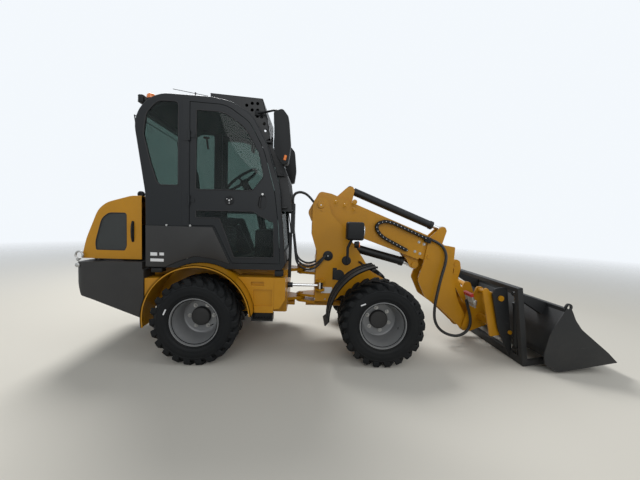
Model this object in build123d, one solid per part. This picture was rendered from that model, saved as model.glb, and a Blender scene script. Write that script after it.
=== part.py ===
from build123d import *
import os
from math import atan2, cos, degrees, hypot, radians, sin, tan

# Compact articulated wheel loader with a telescopic boom and a high-tip bucket.
# Millimetres. While it is modelled, x runs forward from the rear axle, y is 0 on the middle
# plane with the left side positive, and z is height above the ground. Each piece is then
# moved along x by base_shift, so that the origin is under the middle of the whole machine.

# Driving sizes
wheelbase = 1650
tyre_radius = 378
tyre_width = 370
rim_radius = 212
track = 1170
axle_height = tyre_radius
cab_half = 550
cab_wall = 40
hood_half = 505
frame_half = 345
tower_half = 180
boom_half = 115
inner_half = 96
hitch_half = 460
bucket_half = 824
plate = 20
running_gap = 0.05
seat_gap = 0.3
move_gap = 6

# Places of the joints
steer_x = 900
boom_pivot = (1088, 1452)
boom_angle = -21.2
rocker_pivot = (2375, 753)
rocker_eye = (2600, 860)
tilt_base = (2280, 935)
hitch_pivot = (2720, 190)
link_eye = (hitch_pivot[0] + rocker_eye[0] - rocker_pivot[0], hitch_pivot[1] + rocker_eye[1] - rocker_pivot[1])
lift_base = (1290, 1050)
lift_eye = (2140, 838)
steer_base = (420, -230)
steer_eye = (1105, -225)
steer_height = 620
hood_hinge = (-1078, 886)
door_hinge = (-118, cab_half + 13)
door_hinge_heights = (1390, 1960)

# The tool is rolled back a little and rests on its heel.
tool_heel = (3010, 12)
tool_angle = 8
tip_pivot = (520, 13)
tip_base = (0, 104)
tip_eye = (30, 640)
tip_half = 580

weight_back = -1131
rear_reach = weight_back - 31
front_reach = 3753.2
fender_r = 478
fender_low = 430
fender_high = 700
axle_saddle = 510
joint_gap = 60

base_shift = -(rear_reach + front_reach) / 2

parts = {}


def outline(rows):
    """Closed line through rows of (along, up, corner radius); a radius too big is cut to fit."""
    edges = []
    ends = []
    count = len(rows)
    for n in range(count):
        before, here, after = (Vector(*rows[(n + m) % count][:2]) for m in (-1, 0, 1))
        back = before - here
        ahead = after - here
        half = radians(back.get_angle(ahead)) / 2
        reach = min(rows[n][2] / tan(half), back.length * 0.49, ahead.length * 0.49)
        if rows[n][2] == 0 or reach < 0.5 or half > radians(89.5):
            ends.append((here, here))
            continue
        start = here + back.normalized() * reach
        end = here + ahead.normalized() * reach
        radius = reach * tan(half)
        inward = (back.normalized() + ahead.normalized()).normalized()
        middle = here + inward * (radius / sin(half) - radius)
        edges.append(ThreePointArc(start, middle, end))
        ends.append((start, end))
    for n in range(count):
        start = ends[n][1]
        end = ends[(n + 1) % count][0]
        if (end - start).length > 0.01:
            edges.append(Line(start, end))
    return Curve() + edges


def inset(rows, by):
    """Rows of an outline moved inwards by a distance."""
    area = sum(
        rows[n - 1][0] * rows[n][1] - rows[n][0] * rows[n - 1][1] for n in range(len(rows))
    )
    turn = 1 if area > 0 else -1
    moved = []
    for n, row in enumerate(rows):
        here = Vector(*row[:2])
        back = (here - Vector(*rows[n - 1][:2])).normalized()
        ahead = (Vector(*rows[(n + 1) % len(rows)][:2]) - here).normalized()
        first = Vector(-back.Y, back.X) * turn
        second = Vector(-ahead.Y, ahead.X) * turn
        corner = here + (first + second) * (by / (1 + first.dot(second)))
        outside = turn * (back.X * ahead.Y - back.Y * ahead.X) > 0
        radius = max(row[2] - by, 0) if outside else row[2] + by
        moved.append((corner.X, corner.Y, radius if row[2] else 0))
    return moved


def slab(rows, y_low, y_high):
    """Side outline in x and z, made solid from y_low to y_high."""
    face = Plane.XZ.offset(-y_high) * make_face(outline(rows))
    return extrude(face, amount=y_high - y_low, dir=(0, -1, 0))


def deck(rows, z_low, z_high):
    """Plan outline in x and y, made solid from z_low to z_high."""
    face = Plane.XY.offset(z_low) * make_face(outline(rows))
    return extrude(face, amount=z_high - z_low, dir=(0, 0, 1))


def block(x_low, x_high, y_low, y_high, z_low, z_high):
    size = Box(x_high - x_low, y_high - y_low, z_high - z_low)
    return Pos((x_low + x_high) / 2, (y_low + y_high) / 2, (z_low + z_high) / 2) * size


def rod(start, end, radius):
    """Round bar between two points."""
    line = Vector(*end) - Vector(*start)
    return Solid.make_cylinder(radius, line.length, Plane(origin=start, z_dir=line))


def cross_bar(place, radius, y_low, y_high):
    """Round bar across the machine at (x, z)."""
    return rod((place[0], y_low, place[1]), (place[0], y_high, place[1]), radius)


def upright(x, y, radius, z_low, z_high):
    return rod((x, y, z_low), (x, y, z_high), radius)


def both(shape):
    """The shape and its image on the other side."""
    return [shape, mirror(shape, Plane.XZ)]


def fused(*shapes):
    """One solid from touching shapes."""
    total = None
    for shape in shapes:
        for one in shape if isinstance(shape, (list, tuple)) else [shape]:
            total = one if total is None else total + one
    return total


def keep(node, *shapes):
    """Keeps the shapes as one node."""
    solids = []
    for shape in shapes:
        for one in shape if isinstance(shape, (list, tuple)) else [shape]:
            solids += list(one.solids())
    parts[node] = solids


def boom_place(s, t):
    """A place on the boom at rest: s along it from its pivot, t up from its middle line."""
    angle = radians(boom_angle)
    return (
        boom_pivot[0] + s * cos(angle) - t * sin(angle),
        boom_pivot[1] + s * sin(angle) + t * cos(angle),
    )


def boom_rows(rows):
    return [(*boom_place(s, t), r) for s, t, r in rows]


def tool_place(a, b):
    """A place on the tool at rest: a forward from its heel, b up along its posts."""
    angle = radians(tool_angle)
    return (
        tool_heel[0] + a * cos(angle) - b * sin(angle),
        tool_heel[1] + a * sin(angle) + b * cos(angle),
    )


def tool_rows(rows):
    return [(*tool_place(a, b), r) for a, b, r in rows]


def cylinder_pair(base, eye, y, barrel_r, rod_r, eye_r, pin_r, barrel_share, width, gap_width, pinned=False):
    """Barrel and rod of a cylinder in the x-z plane. The rod's eye holds its own pin unless pinned."""
    run = hypot(eye[0] - base[0], eye[1] - base[1])
    way = ((eye[0] - base[0]) / run, (eye[1] - base[1]) / run)
    at = lambda d: (base[0] + way[0] * d, y, base[1] + way[1] * d)
    end = run * barrel_share
    barrel = fused(
        cross_bar(base, eye_r, y - width / 2, y + width / 2),
        rod(at(pin_r + 7), at(eye_r + 20), eye_r * 0.8),
        rod(at(eye_r + 12), at(end), barrel_r),
        rod(at(end - barrel_r * 0.7), at(end + 4), barrel_r * 1.12),
    )
    barrel -= cross_bar(base, pin_r + running_gap, y - width, y + width)
    barrel -= rod(at(eye_r + 32), at(end + 9), rod_r + running_gap)
    stem = fused(
        cross_bar(eye, eye_r, y - gap_width / 2, y + gap_width / 2),
        rod(at(eye_r + 40), at(run - pin_r - 4), rod_r),
    )
    if pinned:
        stem -= cross_bar(eye, pin_r + running_gap, y - gap_width, y + gap_width)
    return barrel, stem


# Wheels

rim_width = 320
disc_recess = 213
spindle_r = 45


def tyre_section():
    """Half-section of a tyre: (across, radius, corner radius)."""
    half = tyre_width / 2
    bead = rim_radius - 22 + seat_gap
    return [
        (-half + 40, bead, 7),
        (-half + 38, rim_radius + 1, 0),
        (-half + 20, rim_radius + 4, 8),
        (-half, 275, 60),
        (-half + 12, tyre_radius - 36, 40),
        (-half + 40, tyre_radius, 14),
        (half - 40, tyre_radius, 14),
        (half - 12, tyre_radius - 36, 40),
        (half, 275, 60),
        (half - 20, rim_radius + 4, 8),
        (half - 38, rim_radius + 1, 0),
        (half - 40, bead, 7),
    ]


def rim_section(side):
    """Rim and its dished disc; side is -1 where the dish opens towards -y."""
    half = rim_width / 2
    well = rim_radius - 22
    face = disc_recess - half
    rows = [
        (-half, rim_radius, 3),
        (-half + 12, rim_radius, 3),
        (-half + 14, well, 6),
        (half - 14, well, 6),
        (half - 12, rim_radius, 3),
        (half, rim_radius, 3),
        (half, well - 8, 6),
        (face + 12, well - 10, 6),
        (face + 12, 105, 4),
        (face + 45, 95, 4),
        (face + 45, spindle_r + running_gap, 0),
        (face, spindle_r + running_gap, 0),
        (face, well - 10, 6),
        (-half, well - 8, 6),
    ]
    if side < 0:
        return rows
    return [(-a, r, f) for a, r, f in rows]


def turned(rows, x, y):
    """Turns a section (across, radius) about a wheel's axle."""
    face = Plane(origin=(x, y, axle_height), x_dir=(0, 1, 0), z_dir=(1, 0, 0)) * make_face(outline(rows))
    return revolve(face, Axis((x, y, axle_height), (0, 1, 0)), 360)


wheels = (
    # name, axle x, side
    ("rear_right", 0, -1),
    ("rear_left", 0, 1),
    ("front_right", wheelbase, -1),
    ("front_left", wheelbase, 1),
)
for name, x, side in wheels:
    y = side * track / 2
    keep("tyre_" + name, turned(tyre_section(), x, y))
    cap_face = y + side * (rim_width / 2 - disc_recess)
    cap = cross_bar((x, axle_height), 83, min(cap_face, cap_face + side * 40), max(cap_face, cap_face + side * 40))
    cap += cross_bar((x, axle_height), 83, *sorted((cap_face, cap_face - side * 12)))
    rim = turned(rim_section(side), x, y) + cap
    rim -= cross_bar((x, axle_height), spindle_r + running_gap, *sorted((cap_face, cap_face - side * 60)))
    keep("rim_" + name, rim)


def axle(x, shaft_end, shaft_side):
    """Axle beam with its differential, hub ends, spindles and input shaft."""
    disc = track / 2 - (disc_recess - rim_width / 2)
    shoulder = disc - 45 - move_gap
    rows = [
        (-shoulder, 0, 0),
        (-shoulder, 92, 6),
        (-shoulder + 60, 92, 6),
        (-shoulder + 80, 55, 10),
        (-190, 58, 20),
        (-110, 120, 30),
        (110, 120, 30),
        (190, 58, 20),
        (shoulder - 80, 55, 10),
        (shoulder - 60, 92, 6),
        (shoulder, 92, 6),
        (shoulder, 0, 0),
    ]
    beam = turned(rows, x, 0)
    spindle = cross_bar((x, axle_height), spindle_r, -disc, disc)
    nose = rod((x, 0, axle_height), (x + shaft_side * 190, 0, axle_height), 70)
    shaft = rod((x, 0, axle_height), (shaft_end, 0, axle_height), 28)
    pad = block(x - 90, x + 90, -150, 150, axle_height + 90, axle_saddle - seat_gap)
    return fused(beam, spindle, nose, shaft, pad)


keep("rear_axle", axle(0, steer_x - joint_gap, 1))
keep("front_axle", axle(wheelbase, steer_x + joint_gap, -1))

# Rear frame

rear_side_rows = (
    (-900, 790, 0),
    (-900, 520, 20),
    (-520, 400, 40),
    (-300, 400, 30),
    (-200, 455, 30),
    (200, 455, 30),
    (270, 372, 30),
    (770, 372, 15),
    (770, 790, 15),
)
lug_thick = 30
lug_r = 62
pin_r = 26
rear_lugs = (
    # bottom of each of the rear frame's lugs
    432,
    742,
)
side_plates = both(slab(rear_side_rows, frame_half - plate, frame_half))
cross_rows = (
    # x low, x high, z low, z high
    (-900, -880, 520, 790),
    (-330, -310, 400, 790),
    (-150, 150, axle_saddle, axle_saddle + plate),
    (300, 320, 400, 790),
    (750, 770, 372, 790),
    (320, 750, 770, 790),
)
inner = frame_half - plate
crosses = [block(a, b, -inner, inner, c, d) for a, b, c, d in cross_rows]
lug_rows = ((760, -140, 0), (760, 140, 0), (steer_x + 10, lug_r, 40), (steer_x + lug_r, 0, 40), (steer_x + 10, -lug_r, 40))
lugs = [deck(lug_rows, z, z + lug_thick) for z in rear_lugs]
rear_frame = fused(side_plates, crosses, lugs)
rear_frame -= upright(steer_x, 0, pin_r + running_gap, 300, 900)
shaft_hole = rod((200, 0, axle_height), (900, 0, axle_height), 50)
rear_frame -= shaft_hole
rear_frame -= block(740, 780, -322, -132, 585, 655)
steer_ear_rows = ((300, -190, 0), (300, -275, 0), (steer_base[0], -275, 20), (steer_base[0] + 40, -230, 30), (steer_base[0], -190, 20))
for z_low in (steer_height - 55, steer_height + 35):
    rear_frame += deck(steer_ear_rows, z_low, z_low + plate)
rear_frame += upright(steer_base[0], steer_base[1], 20, steer_height - 50, steer_height + 50)
keep("rear_frame", rear_frame)
keep("engine_block", block(-880 + seat_gap, -540, -250, 250, 560, 1180))

# Counterweight

weight_half = 560
weight_rows = (
    (-529, 864, 0),
    (weight_back, 850, 20),
    (weight_back, 720, 60),
    (-1070, 548, 30),
    (-985, 520, 40),
    (-516, 341, 10),
    (-516, 790, 10),
    (-529, 800, 0),
)
weight = slab(weight_rows, -weight_half, weight_half)
weight -= block(-900, 0, -(frame_half + 5), frame_half + 5, 300, 900)
weight &= deck(
    ((weight_back, -weight_half, 90), (-500, -weight_half, 0), (-500, weight_half, 0), (weight_back, weight_half, 90)),
    300,
    900,
)
weight += block(-900, -880, -frame_half, frame_half, 800, 864)
loops = [Pos(-1128, y, 850) * Rot(90, 0, 0) * Torus(25, 9) for y in (-150, 150)]
hinge_ears = []
for side in (-1, 1):
    for y in (260, 328):
        low, high = sorted((side * y, side * (y + 12)))
        hinge_ears.append(block(-1088, -1068, low, high, 840, 886))
        hinge_ears.append(cross_bar(hood_hinge, 10, low, high))
    hinge_ears.append(cross_bar(hood_hinge, 6, *sorted((side * 262, side * 338))))
keep("counterweight", fused(weight, loops, hinge_ears))

# Hood

hood_rows = (
    (-560, 880, 0),
    (-560, 1424, 12),
    (-760, 1424, 60),
    (-925, 1372, 110),
    (-1045, 1140, 260),
    (-1098, 880, 0),
)
hood_wall = 6
hood = slab(hood_rows, -hood_half, hood_half)
inner_rows = [(x + (hood_wall if x < -560 else 20), z - (hood_wall if z > 880 else 20), r) for x, z, r in hood_rows]
hood_void = slab(inner_rows, -hood_half + hood_wall, hood_half - hood_wall)
grille_rows = ((-975, 962, 40), (-975, 1180, 60), (-860, 1330, 70), (-700, 1330, 50), (-700, 962, 40))
grille_hole = slab(grille_rows, -hood_half - 5, hood_half + 5)
hood = hood - hood_void - grille_hole
for side in (-1, 1):
    low, high = sorted((side * 254, side * 346))
    hood -= block(-1110, -1060, low, high, 870, 906)
    low, high = sorted((side * 276, side * 324))
    hood += block(-1092, -1084, low, high, 886, 935)
    hood += cross_bar(hood_hinge, 12, low, high)
    hood -= cross_bar(hood_hinge, 6 + running_gap, low - 3, high + 3)
keep("hood", hood)
grille_panels = [slab([(x, z, r) for x, z, r in grille_rows], y, y + 12) for y in (-hood_half - 4 + 6, hood_half - 14)]
keep("hood_trim", [panel for panel in grille_panels])

# Cab

cab_rows = (
    (-502, 820, 0),
    (-508, 1480, 500),
    (-606, 2080, 110),
    (-510, 2372, 150),
    (-60, 2362, 700),
    (395, 2240, 170),
    (690, 1440, 500),
    (757, 872, 0),
    (722, 820, 0),
)
floor_z = 862.5
cab = slab(cab_rows, -cab_half, cab_half)
cab -= slab(inset(cab_rows, cab_wall), -cab_half + cab_wall, cab_half - cab_wall)
door_rows = (
    (-118, 1212, 6),
    (118, 1212, 6),
    (278, 880, 6),
    (722, 880, 6),
    (700, 1102, 200),
    (655, 1420, 400),
    (495, 1960, 200),
    (350, 2190, 120),
    (80, 2285, 300),
    (-118, 2305, 6),
)
quarter_rows = (
    (-215, 1566, 20),
    (-385, 1560, 30),
    (-450, 1733, 200),
    (-515, 2060, 60),
    (-440, 2270, 90),
    (-215, 2290, 20),
)
cab -= slab(door_rows, -cab_half - 5, cab_half + 5)
cab -= slab(quarter_rows, -cab_half - 5, cab_half + 5)
side_panel_rows = (
    (-502, 1205, 0),
    (112, 1205, 0),
    (270, 862, 0),
    (120, 905, 80),
    (-60, 930, 120),
    (-215, 875, 60),
    (-325, 822, 10),
    (-502, 822, 0),
)
cab -= slab(side_panel_rows, -cab_half - 5, -cab_half + cab_wall)
cab -= slab(side_panel_rows, cab_half - cab_wall, cab_half + 5)
front_glass_hole = block(400, 900, -cab_half + 90, cab_half - 90, 980, 2180)
rear_glass_hole = block(-800, -430, -cab_half + 90, cab_half - 90, 1560, 2200)
cab = cab - front_glass_hole - rear_glass_hole
cab += block(-470, 700, -cab_half + cab_wall, cab_half - cab_wall, 822, floor_z)
for side in (-1, 1):
    cab -= cross_bar((0, 390), fender_r + 6, *sorted((side * 400, side * 700)))
for side in (-1, 1):
    for z in door_hinge_heights:
        y_pin = side * door_hinge[1]
        leaf = block(-165, -118, *sorted((side * (cab_half - 2), side * (cab_half + 6))), z, z + 90)
        leaf -= block(-132, -100, *sorted((side * cab_half, side * (cab_half + 10))), z + 28, z + 62)
        cab = fused(cab, leaf)
        for low in (z, z + 63):
            cab += upright(-118, y_pin, 10, low, low + 27)
        cab += upright(-118, y_pin, 5, z + 10, z + 80)
keep("cab_body", cab)
panel_low = cab_half - cab_wall + seat_gap
panel = slab(side_panel_rows, panel_low, cab_half + 8)
keep("cab_side_panels", both(panel))

door_clear = 5
upper_glass_rows = (
    (-62, 1530, 20),
    (475, 1535, 60),
    (545, 1660, 60),
    (478, 1905, 150),
    (340, 2120, 120),
    (105, 2222, 200),
    (-62, 2240, 20),
)
lower_glass_rows = (
    (-62, 1352, 15),
    (430, 1362, 40),
    (520, 1315, 40),
    (655, 1262, 20),
    (665, 940, 20),
    (312, 935, 20),
    (180, 1262, 15),
    (-62, 1262, 15),
)
door_thick = 36


def door(side):
    low, high = sorted((side * cab_half, side * (cab_half - door_thick)))
    leaf = slab(inset(door_rows, door_clear), low, high)
    leaf -= slab(upper_glass_rows, low - 5, high + 5)
    leaf -= slab(lower_glass_rows, low - 5, high + 5)
    y_pin = side * door_hinge[1]
    for z in door_hinge_heights:
        low, high = sorted((side * (cab_half - 2), side * (cab_half + 6)))
        leaf += block(-112.5, -70, low, high, z + 30, z + 60)
        leaf += block(-113, -100, *sorted((side * (cab_half + 1), y_pin)), z + 30, z + 60)
        leaf += upright(-118, y_pin, 10, z + 30, z + 60)
        leaf -= upright(-118, y_pin, 5 + running_gap, z + 20, z + 70)
    return leaf


def door_glass(side):
    low, high = sorted((side * (cab_half - 14), side * (cab_half - 20)))
    panes = []
    for rows in (upper_glass_rows, lower_glass_rows):
        panes += list(slab(inset(rows, seat_gap), low, high).solids())
    return panes


for name, side in (("right", -1), ("left", 1)):
    keep("door_" + name, door(side))
    keep("door_glass_" + name, door_glass(side))

windscreen_rows = ((662, 1000, 0), (690, 1440, 500), (395, 2240, 170), (300, 2265, 0))
quarter_panes = both(slab(inset(quarter_rows, seat_gap), cab_half - 22, cab_half - 16))
pane_shell = slab(inset(cab_rows, 14), -cab_half + 90 + seat_gap, cab_half - 90 - seat_gap)
pane_shell -= slab(inset(cab_rows, 20), -cab_half, cab_half)
front_pane = pane_shell & block(400, 900, -cab_half, cab_half, 980 + seat_gap, 2180 - seat_gap)
rear_pane = pane_shell & block(-800, -430, -cab_half, cab_half, 1560 + seat_gap, 2200 - seat_gap)
keep("cab_glass", quarter_panes, front_pane, rear_pane)

# Inside the cab

cushion = fillet(block(-260, 190, -235, 235, 1190, 1290).edges(), 30)
backrest = slab(((-330, 1300, 30), (-215, 1300, 30), (-290, 1830, 40), (-370, 1830, 40)), -215, 215)
pedestal = block(-220, 150, -180, 180, floor_z, 1190 - seat_gap)
backrest += block(-330, -250, -150, 150, 1200, 1310)
keep("seat", cushion + backrest, pedestal)
column = rod((480, 0, 1100), (310, 0, 1560), 45)
wheel_tilt = Plane(origin=(305, 0, 1570), z_dir=(-210, 0, 700))
hand_ring = wheel_tilt * Torus(178, 13)
spokes = fused(*[wheel_tilt * Rot(0, 0, 120 * n) * Pos(89, 0, -4) * Box(180, 26, 10) for n in range(3)])
console = block(420, 620, -180, 180, floor_z + seat_gap, 1180)
keep("steering_console", fused(column, hand_ring, spokes, wheel_tilt * Cylinder(40, 30), console))

# What is on the cab

roof_a = (-60, 2362)
roof_b = (395, 2240)
roof_long = hypot(roof_b[0] - roof_a[0], roof_b[1] - roof_a[1])


def roof_place(along, off):
    """A place over the sloping front of the roof."""
    dx = (roof_b[0] - roof_a[0]) / roof_long
    dz = (roof_b[1] - roof_a[1]) / roof_long
    return (roof_a[0] + dx * along - dz * off, roof_a[1] + dz * along + dx * off)


def roof_rows(rows):
    return [(*roof_place(along, off), r) for along, off, r in rows]


roof_guard = slab(roof_rows(((170, 26, 3), (500, 26, 3), (500, 34, 3), (170, 34, 3))), -cab_half + 40, cab_half - 40)
for y in (-440, -20, 400):
    for along in (200, 380):
        foot = roof_rows(((along, seat_gap, 0), (along + 30, seat_gap, 0), (along + 30, 30, 0), (along, 30, 0)))
        roof_guard += slab(foot, y, y + 40)
guard_line = ((478, 2100), (716, 1452), (762, 1180))
guard_bars = []
for y in range(-400, 401, 100):
    for (x0, z0), (x1, z1) in zip(guard_line, guard_line[1:]):
        guard_bars.append(rod((x0, y, z0), (x1, y, z1), 9))
guard_rails = [rod((x, -484, z), (x, 484, z), 11) for x, z in guard_line]
guard_feet = [rod((x, y, z), (x - 60, y, z - 12), 8) for x, z in guard_line[::2] for y in (-475, 475)]
guard_feet = fused(guard_feet) - slab(inset(cab_rows, -seat_gap), -cab_half, cab_half)
keep("cab_guard", fused(guard_bars, guard_rails, list(guard_feet.solids())))
keep("roof_visor", roof_guard)
mirror_arms = []
for side in (-1, 1):
    y0 = side * (cab_half + 2)
    y1 = side * (cab_half + 130)
    head_low, head_high = sorted((y1 - side * 70, y1 + side * 70))
    foot = block(372, 402, *sorted((side * (cab_half + seat_gap), side * (cab_half + 14))), 2172, 2212)
    arm = fused(foot, rod((387, side * (cab_half + 8), 2192), (700, y1, 2192), 9))
    head = slab(((640, 2200, 20), (720, 2200, 40), (765, 2120, 40), (770, 1820, 30), (690, 1770, 30)), head_low, head_high)
    mirror_arms.append(arm + head)
keep("mirrors", mirror_arms)
beacon = fused(upright(-396, -330, 12, 2369.6 + seat_gap, 2400), upright(-396, -330, 42, 2385, 2450))
keep("beacon", beacon)
lamp = fused(block(-618, -564, -460, -360, 2230, 2320), block(-570, -546 - seat_gap, -420, -400, 2262, 2272))
keep("work_lamps", both(lamp))
mounts_under_cab = [block(x, x + 80, y, y + 60, 790 + seat_gap, 820 - seat_gap) for x in (-480, 560) for y in (-330, 270)]
step = fused(block(490, 665, -600, -470, 330, 400), block(500, 620, -480, -frame_half, 372, 392))
keep("steps", both(step), mounts_under_cab)
valve = fused(block(785, 825, -300, -150, 1150, 1450), block(770 + seat_gap, 800, -250, -200, 700, 1160))
keep("valve_block", valve)

# Rear fenders


def arch(x, centre_z, radius, thick, y_low, y_high, start, end):
    """Bent sheet over a wheel, between two angles from the forward horizontal."""
    steps = [start + (end - start) * n / 2 for n in range(3)]
    at = lambda r, a: (x + r * cos(radians(a)), centre_z + r * sin(radians(a)))
    outer = ThreePointArc(*[at(radius + thick, a) for a in steps])
    inner = ThreePointArc(*[at(radius, a) for a in steps])
    ends = [Line(at(radius, a), at(radius + thick, a)) for a in (start, end)]
    face = Plane.XZ.offset(-y_high) * make_face(Curve() + [outer, inner, *ends])
    return extrude(face, amount=y_high - y_low, dir=(0, -1, 0))


rear_fender = arch(0, 390, fender_r - 8, 8, fender_low, fender_high, -2, 192)
rear_lip = arch(0, 390, fender_r - 50, 50, fender_high - 8, fender_high, -2, 192)
rear_struts = [block(x - 10, x + 10, frame_half + seat_gap, 445, 732, 757) for x in (-300, 300)]
keep("rear_fenders", both(fused(rear_fender, rear_lip, rear_struts)))

# Front frame

tower_rows = (
    (1003, 1452, 0),
    (1003, 1140, 60),
    (1060, 960, 30),
    (1050, 440, 15),
    (1250, 440, 20),
    (1330, axle_saddle, 20),
    (1860, axle_saddle, 20),
    (1860, 640, 30),
    (1640, 760, 80),
    (1555, 900, 60),
    (1310, 1248, 60),
    (1204, 1357, 40),
    (1173, 1452, 0),
)
tower_low = tower_half - plate
tower_plates = both(
    slab(tower_rows, tower_low, tower_half) + cross_bar(boom_pivot, 85, tower_low, tower_half)
)
front_cross = (
    # x low, x high, z low, z high
    (1050, 1070, 440, 900),
    (1330, 1860, axle_saddle, axle_saddle + plate),
    (1840, 1860, axle_saddle, 640),
    (1500, 1520, axle_saddle, 760),
)
front_crosses = [block(a, b, -tower_low, tower_low, c, d) for a, b, c, d in front_cross]
front_lug_rows = (
    (1060, -130, 0),
    (1060, 130, 0),
    (steer_x, lug_r, 40),
    (steer_x - lug_r, 0, 40),
    (steer_x, -lug_r, 40),
)
front_lugs = []
for z in rear_lugs:
    front_lugs.append(deck(front_lug_rows, z + lug_thick + 5, z + 2 * lug_thick))
    front_lugs.append(deck(front_lug_rows, z - lug_thick, z - 5))
steer_pins = [upright(steer_x, 0, pin_r, z - 40, z + lug_thick + 40) for z in rear_lugs]
boom_pin = cross_bar(boom_pivot, 30, -tower_half - 18, tower_half + 18)
lift_pin = cross_bar(lift_base, 28, -tower_low, tower_low)
lift_bosses = [cross_bar(lift_base, 50, *sorted((side * 60, side * tower_low))) for side in (-1, 1)]
steer_ears = [
    deck(((1055, -165, 0), (1150, -165, 0), (1150, -240, 20), (1105, -268, 30), (1055, -220, 10)), z, z + plate)
    for z in (steer_height - 55, steer_height + 35)
]
steer_caps = [
    upright(steer_eye[0], steer_eye[1], 24, steer_height - 63, steer_height - 40),
    upright(steer_eye[0], steer_eye[1], 24, steer_height + 40, steer_height + 63),
]
front_frame = fused(tower_plates, front_crosses, front_lugs, steer_pins, boom_pin, lift_pin, lift_bosses)
front_frame += fused(steer_ears, steer_caps)
front_frame -= rod((900, 0, axle_height), (1500, 0, axle_height), 50)
keep("front_frame", front_frame)

front_fender = arch(wheelbase, 390, 470, 8, 455, 745, 80, 188)
front_fender += arch(wheelbase, 390, 470, 25, 455, 470, 80, 188)
keep("front_fenders", both(front_fender + block(1500, 1530, tower_half, 460, 838, 858)))
lamp_box = block(1330, 1505, -400, -300, 1110, 1285)
lamp_arm = fused(rod((1360, -tower_half, 900), (1360, -350, 900), 12), rod((1360, -350, 888), (1360, -350, 1115), 12))
keep("front_lamps", both(lamp_box + lamp_arm))

# Cylinders

lift_barrel, lift_rod = cylinder_pair(lift_base, lift_eye, 0, 46, 25, 48, 28, 0.86, 100, 80)
keep("lift_barrel", lift_barrel)
keep("lift_rod", lift_rod)


def steering_cylinder():
    """Barrel and rod of the steering cylinder, flat at steer_height."""
    base = (steer_base[0], steer_base[1], steer_height)
    eye = (steer_eye[0], steer_eye[1], steer_height)
    run = hypot(eye[0] - base[0], eye[1] - base[1])
    at = lambda d: tuple(b + (e - b) * d / run for b, e in zip(base, eye))
    barrel = upright(base[0], base[1], 34, steer_height - 32, steer_height + 32) + rod(at(22), at(400), 26)
    barrel -= upright(base[0], base[1], 20 + running_gap, steer_height - 60, steer_height + 60)
    barrel -= rod(at(56), at(410), 14 + running_gap)
    stem = upright(eye[0], eye[1], 32, steer_height - 32, steer_height + 32) + rod(at(222), at(run - 20), 14)
    return barrel, stem


steer_barrel, steer_rod = steering_cylinder()
keep("steering_barrel", steer_barrel)
keep("steering_rod", steer_rod)

# Boom

outer_end = 1200
boom_wall = 10
outer_rows = boom_rows(
    (
        (-98, -115, 60),
        (-66, 133, 50),
        (60, 158, 30),
        (140, 158, 20),
        (outer_end, 158, 0),
        (outer_end, -120, 0),
        (400, -150, 60),
        (120, -150, 40),
        (0, -215, 60),
    )
)
lug_peak = (227, 287)
outer = slab(outer_rows, -boom_half, boom_half)
cavity = boom_rows(((150, 145, 0), (outer_end + 10, 145, 0), (outer_end + 10, -106, 0), (150, -106, 0)))
outer -= slab(cavity, -(inner_half + move_gap), inner_half + move_gap)
lug_shape = boom_rows(((120, 150, 0), (190, 295, 30), (240, 330, 40), (275, 290, 30), (300, 150, 0)))
for side in (-1, 1):
    low, high = sorted((side * 46, side * 64))
    outer += slab(lug_shape, low, high)
outer += cross_bar(boom_pivot, 60, -(tower_low - 5), tower_low - 5)
outer -= cross_bar(boom_pivot, 30 + running_gap, -tower_half, tower_half)
outer += cross_bar(boom_place(*lug_peak), 22, -64, 64)
slot_rows = boom_rows(((560, -100, 0), (560, -170, 0), (1125, -170, 0), (1125, -100, 0)))
lift_ear = boom_rows(((1010, -112, 0), (1196, -112, 0), (1250, -170, 40), (1235, -232, 40), (1170, -232, 40), (1100, -170, 60)))
for side in (-1, 1):
    low, high = sorted((side * 46, side * 66))
    outer += slab(lift_ear, low, high)
    outer += cross_bar(lift_eye, 34, *sorted((side * 60, side * 76)))
keep("boom_outer", outer)

tele_rear = boom_place(*lug_peak)
tele_front = boom_place(1338, 287)
tele_barrel, tele_rod = cylinder_pair(tele_rear, tele_front, 0, 42, 22, 36, 22, 0.9, 84, 84, True)
keep("telescope_barrel", tele_barrel)
keep("telescope_rod", tele_rod)

box_rows = boom_rows(((250, 139, 0), (1330, 139, 0), (1330, -100, 0), (250, -100, 0)))
box_void = boom_rows(((240, 129, 0), (1340, 129, 0), (1340, -90, 0), (240, -90, 0)))
inner_boom = slab(box_rows, -inner_half, inner_half) - slab(box_void, -(inner_half - 10), inner_half - 10)
inner_boom -= slab(boom_rows(((1195, -80, 0), (1340, -80, 0), (1340, -110, 0), (1195, -110, 0))), -86, 86)
head_rows = (
    (2262, 1096, 10),
    (2564, 1050, 15),
    (2552, 749, 200),
    (2622, 475, 200),
    (2774, 199, 50),
    (2724, 118, 50),
    (2427, 382, 60),
    (2254, 499, 60),
    (2167, 684, 60),
    (2225, 882, 60),
)
for side in (-1, 1):
    low, high = sorted((side * inner_half, side * (inner_half + plate)))
    inner_boom += slab(head_rows, low, high)
front_lug_shape = boom_rows(((1230, 130, 0), (1300, 290, 30), (1345, 330, 40), (1385, 290, 30), (1400, 100, 0), (1330, 100, 0)))
for side in (-1, 1):
    low, high = sorted((side * 46, side * 64))
    inner_boom += slab(front_lug_shape, low, high)
inner_boom += slab(boom_rows(((1320, 139, 0), (1400, 139, 0), (1400, 120, 0), (1320, 120, 0))), -inner_half, inner_half)
inner_boom += cross_bar(tele_front, 22, -64, 64)
inner_boom += cross_bar(rocker_pivot, 26, -inner_half, inner_half)
inner_boom += cross_bar(tilt_base, 24, -inner_half - plate - 8, inner_half + plate + 8)
for side in (-1, 1):
    inner_boom += cross_bar(hitch_pivot, 58, *sorted((side * 84, side * (inner_half + plate))))
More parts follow.
